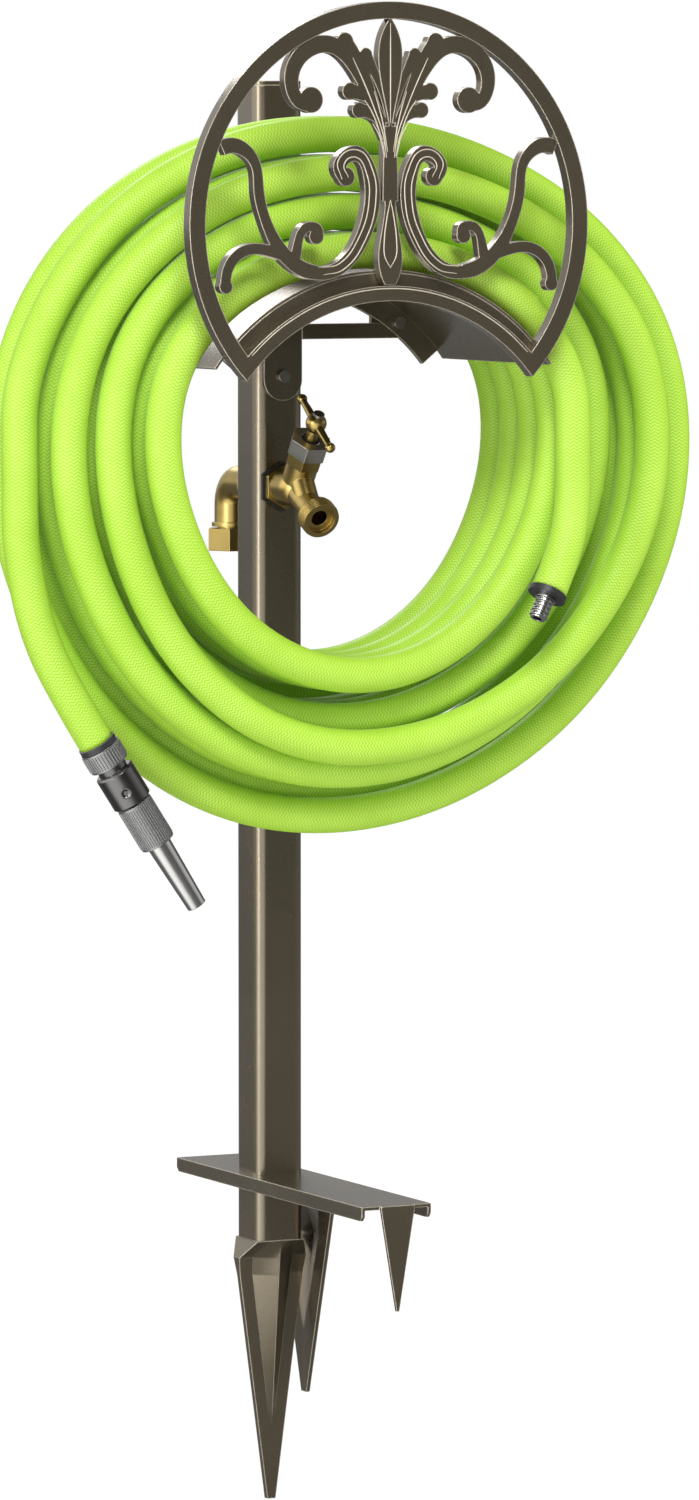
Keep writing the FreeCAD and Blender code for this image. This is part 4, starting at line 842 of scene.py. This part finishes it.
class HOSESTAND_OT_set_stage(bpy.types.Operator):
    """Floor, soft light and the camera"""
    bl_idname = "hosestand.set_stage"
    bl_label = "Set Stage"

    def execute(self, context):
        studio = settings("studio")
        scene = context.scene
        scene.view_settings.view_transform = "Standard"
        deselect()
        bpy.ops.mesh.primitive_plane_add(size=60.0, location=(0.0, 0.0, -studio.floor_drop))
        floor = context.object
        floor.name = "studio_floor"
        give(floor, floor_material())
        world = bpy.data.worlds.new("Studio")
        scene.world = world
        world.use_nodes = True
        work = Tree(world.node_tree)
        sky = world.node_tree.nodes["Background"]
        sky.inputs["Color"].default_value = (1.0, 1.0, 1.0, 1.0)
        work.put(sky.inputs["Strength"], room_strength(work))
        area_light("key", (-1.3, -3.4, 3.9), (0.0, -0.1, 0.45), (1.6, 1.6), 150.0)
        area_light("side", (3.2, -1.2, 1.8), (0.0, -0.1, 0.45), (1.0, 2.2), 45.0, False)
        area_light("strip", (-3.5, -1.7, 0.5), (0.0, 0.0, 0.4), (0.7, 3.4), 70.0)
        area_light("back", (0.6, 3.2, 2.8), (0.0, 0.0, 0.5), (2.0, 1.2), 45.0)
        ahead = Vector((math.sin(studio.turn), math.cos(studio.turn), 0.0))
        aside = Vector((math.cos(studio.turn), -math.sin(studio.turn), 0.0))
        place = aside * studio.side_step - ahead * studio.distance
        place.z = studio.height
        gaze = ahead * math.cos(studio.tilt) - Vector((0.0, 0.0, math.sin(studio.tilt)))
        bpy.ops.object.camera_add(location=place, rotation=gaze.to_track_quat("-Z", "Y").to_euler())
        camera = context.object
        camera.data.sensor_fit = "AUTO"
        camera.data.sensor_width = 36.0
        camera.data.lens = studio.lens
        camera.data.clip_end = 100.0
        scene.camera = camera
        return {"FINISHED"}


class HOSESTAND_PT_panel(bpy.types.Panel):
    """The steps that dress the hose stand"""
    bl_idname = "HOSESTAND_PT_panel"
    bl_label = "Hose Stand"
    bl_space_type = "VIEW_3D"
    bl_region_type = "UI"
    bl_category = "Hose Stand"

    def draw(self, context):
        for operator in OPERATORS:
            self.layout.operator(operator.bl_idname)
        for group in GROUPS:
            box = self.layout.box()
            values = settings(group)
            for name in values.bl_rna.properties.keys():
                if name not in ("rna_type", "name"):
                    box.prop(values, name)


OPERATORS = (HOSESTAND_OT_finish_metalwork, HOSESTAND_OT_finish_tap, HOSESTAND_OT_finish_nozzle,
             HOSESTAND_OT_raise_ornament, HOSESTAND_OT_trim_fittings, HOSESTAND_OT_wind_hose,
             HOSESTAND_OT_set_stage)
GROUPS = {"colours": HoseStandColours, "hose": HoseStandHose, "trim": HoseStandTrim,
          "studio": HoseStandStudio}


def register():
    for kind in (*GROUPS.values(), *OPERATORS, HOSESTAND_PT_panel):
        bpy.utils.register_class(kind)
    for name, kind in GROUPS.items():
        setattr(bpy.types.Scene, "hose_stand_" + name, PointerProperty(type=kind))


def unregister():
    for name in GROUPS:
        delattr(bpy.types.Scene, "hose_stand_" + name)
    for kind in reversed((*GROUPS.values(), *OPERATORS, HOSESTAND_PT_panel)):
        bpy.utils.unregister_class(kind)


def main():
    register()
    bpy.ops.hosestand.finish_metalwork()
    bpy.ops.hosestand.finish_tap()
    bpy.ops.hosestand.finish_nozzle()
    bpy.ops.hosestand.raise_ornament()
    bpy.ops.hosestand.trim_fittings()
    bpy.ops.hosestand.wind_hose()
    bpy.ops.hosestand.set_stage()


if __name__ == "__main__":
    main()
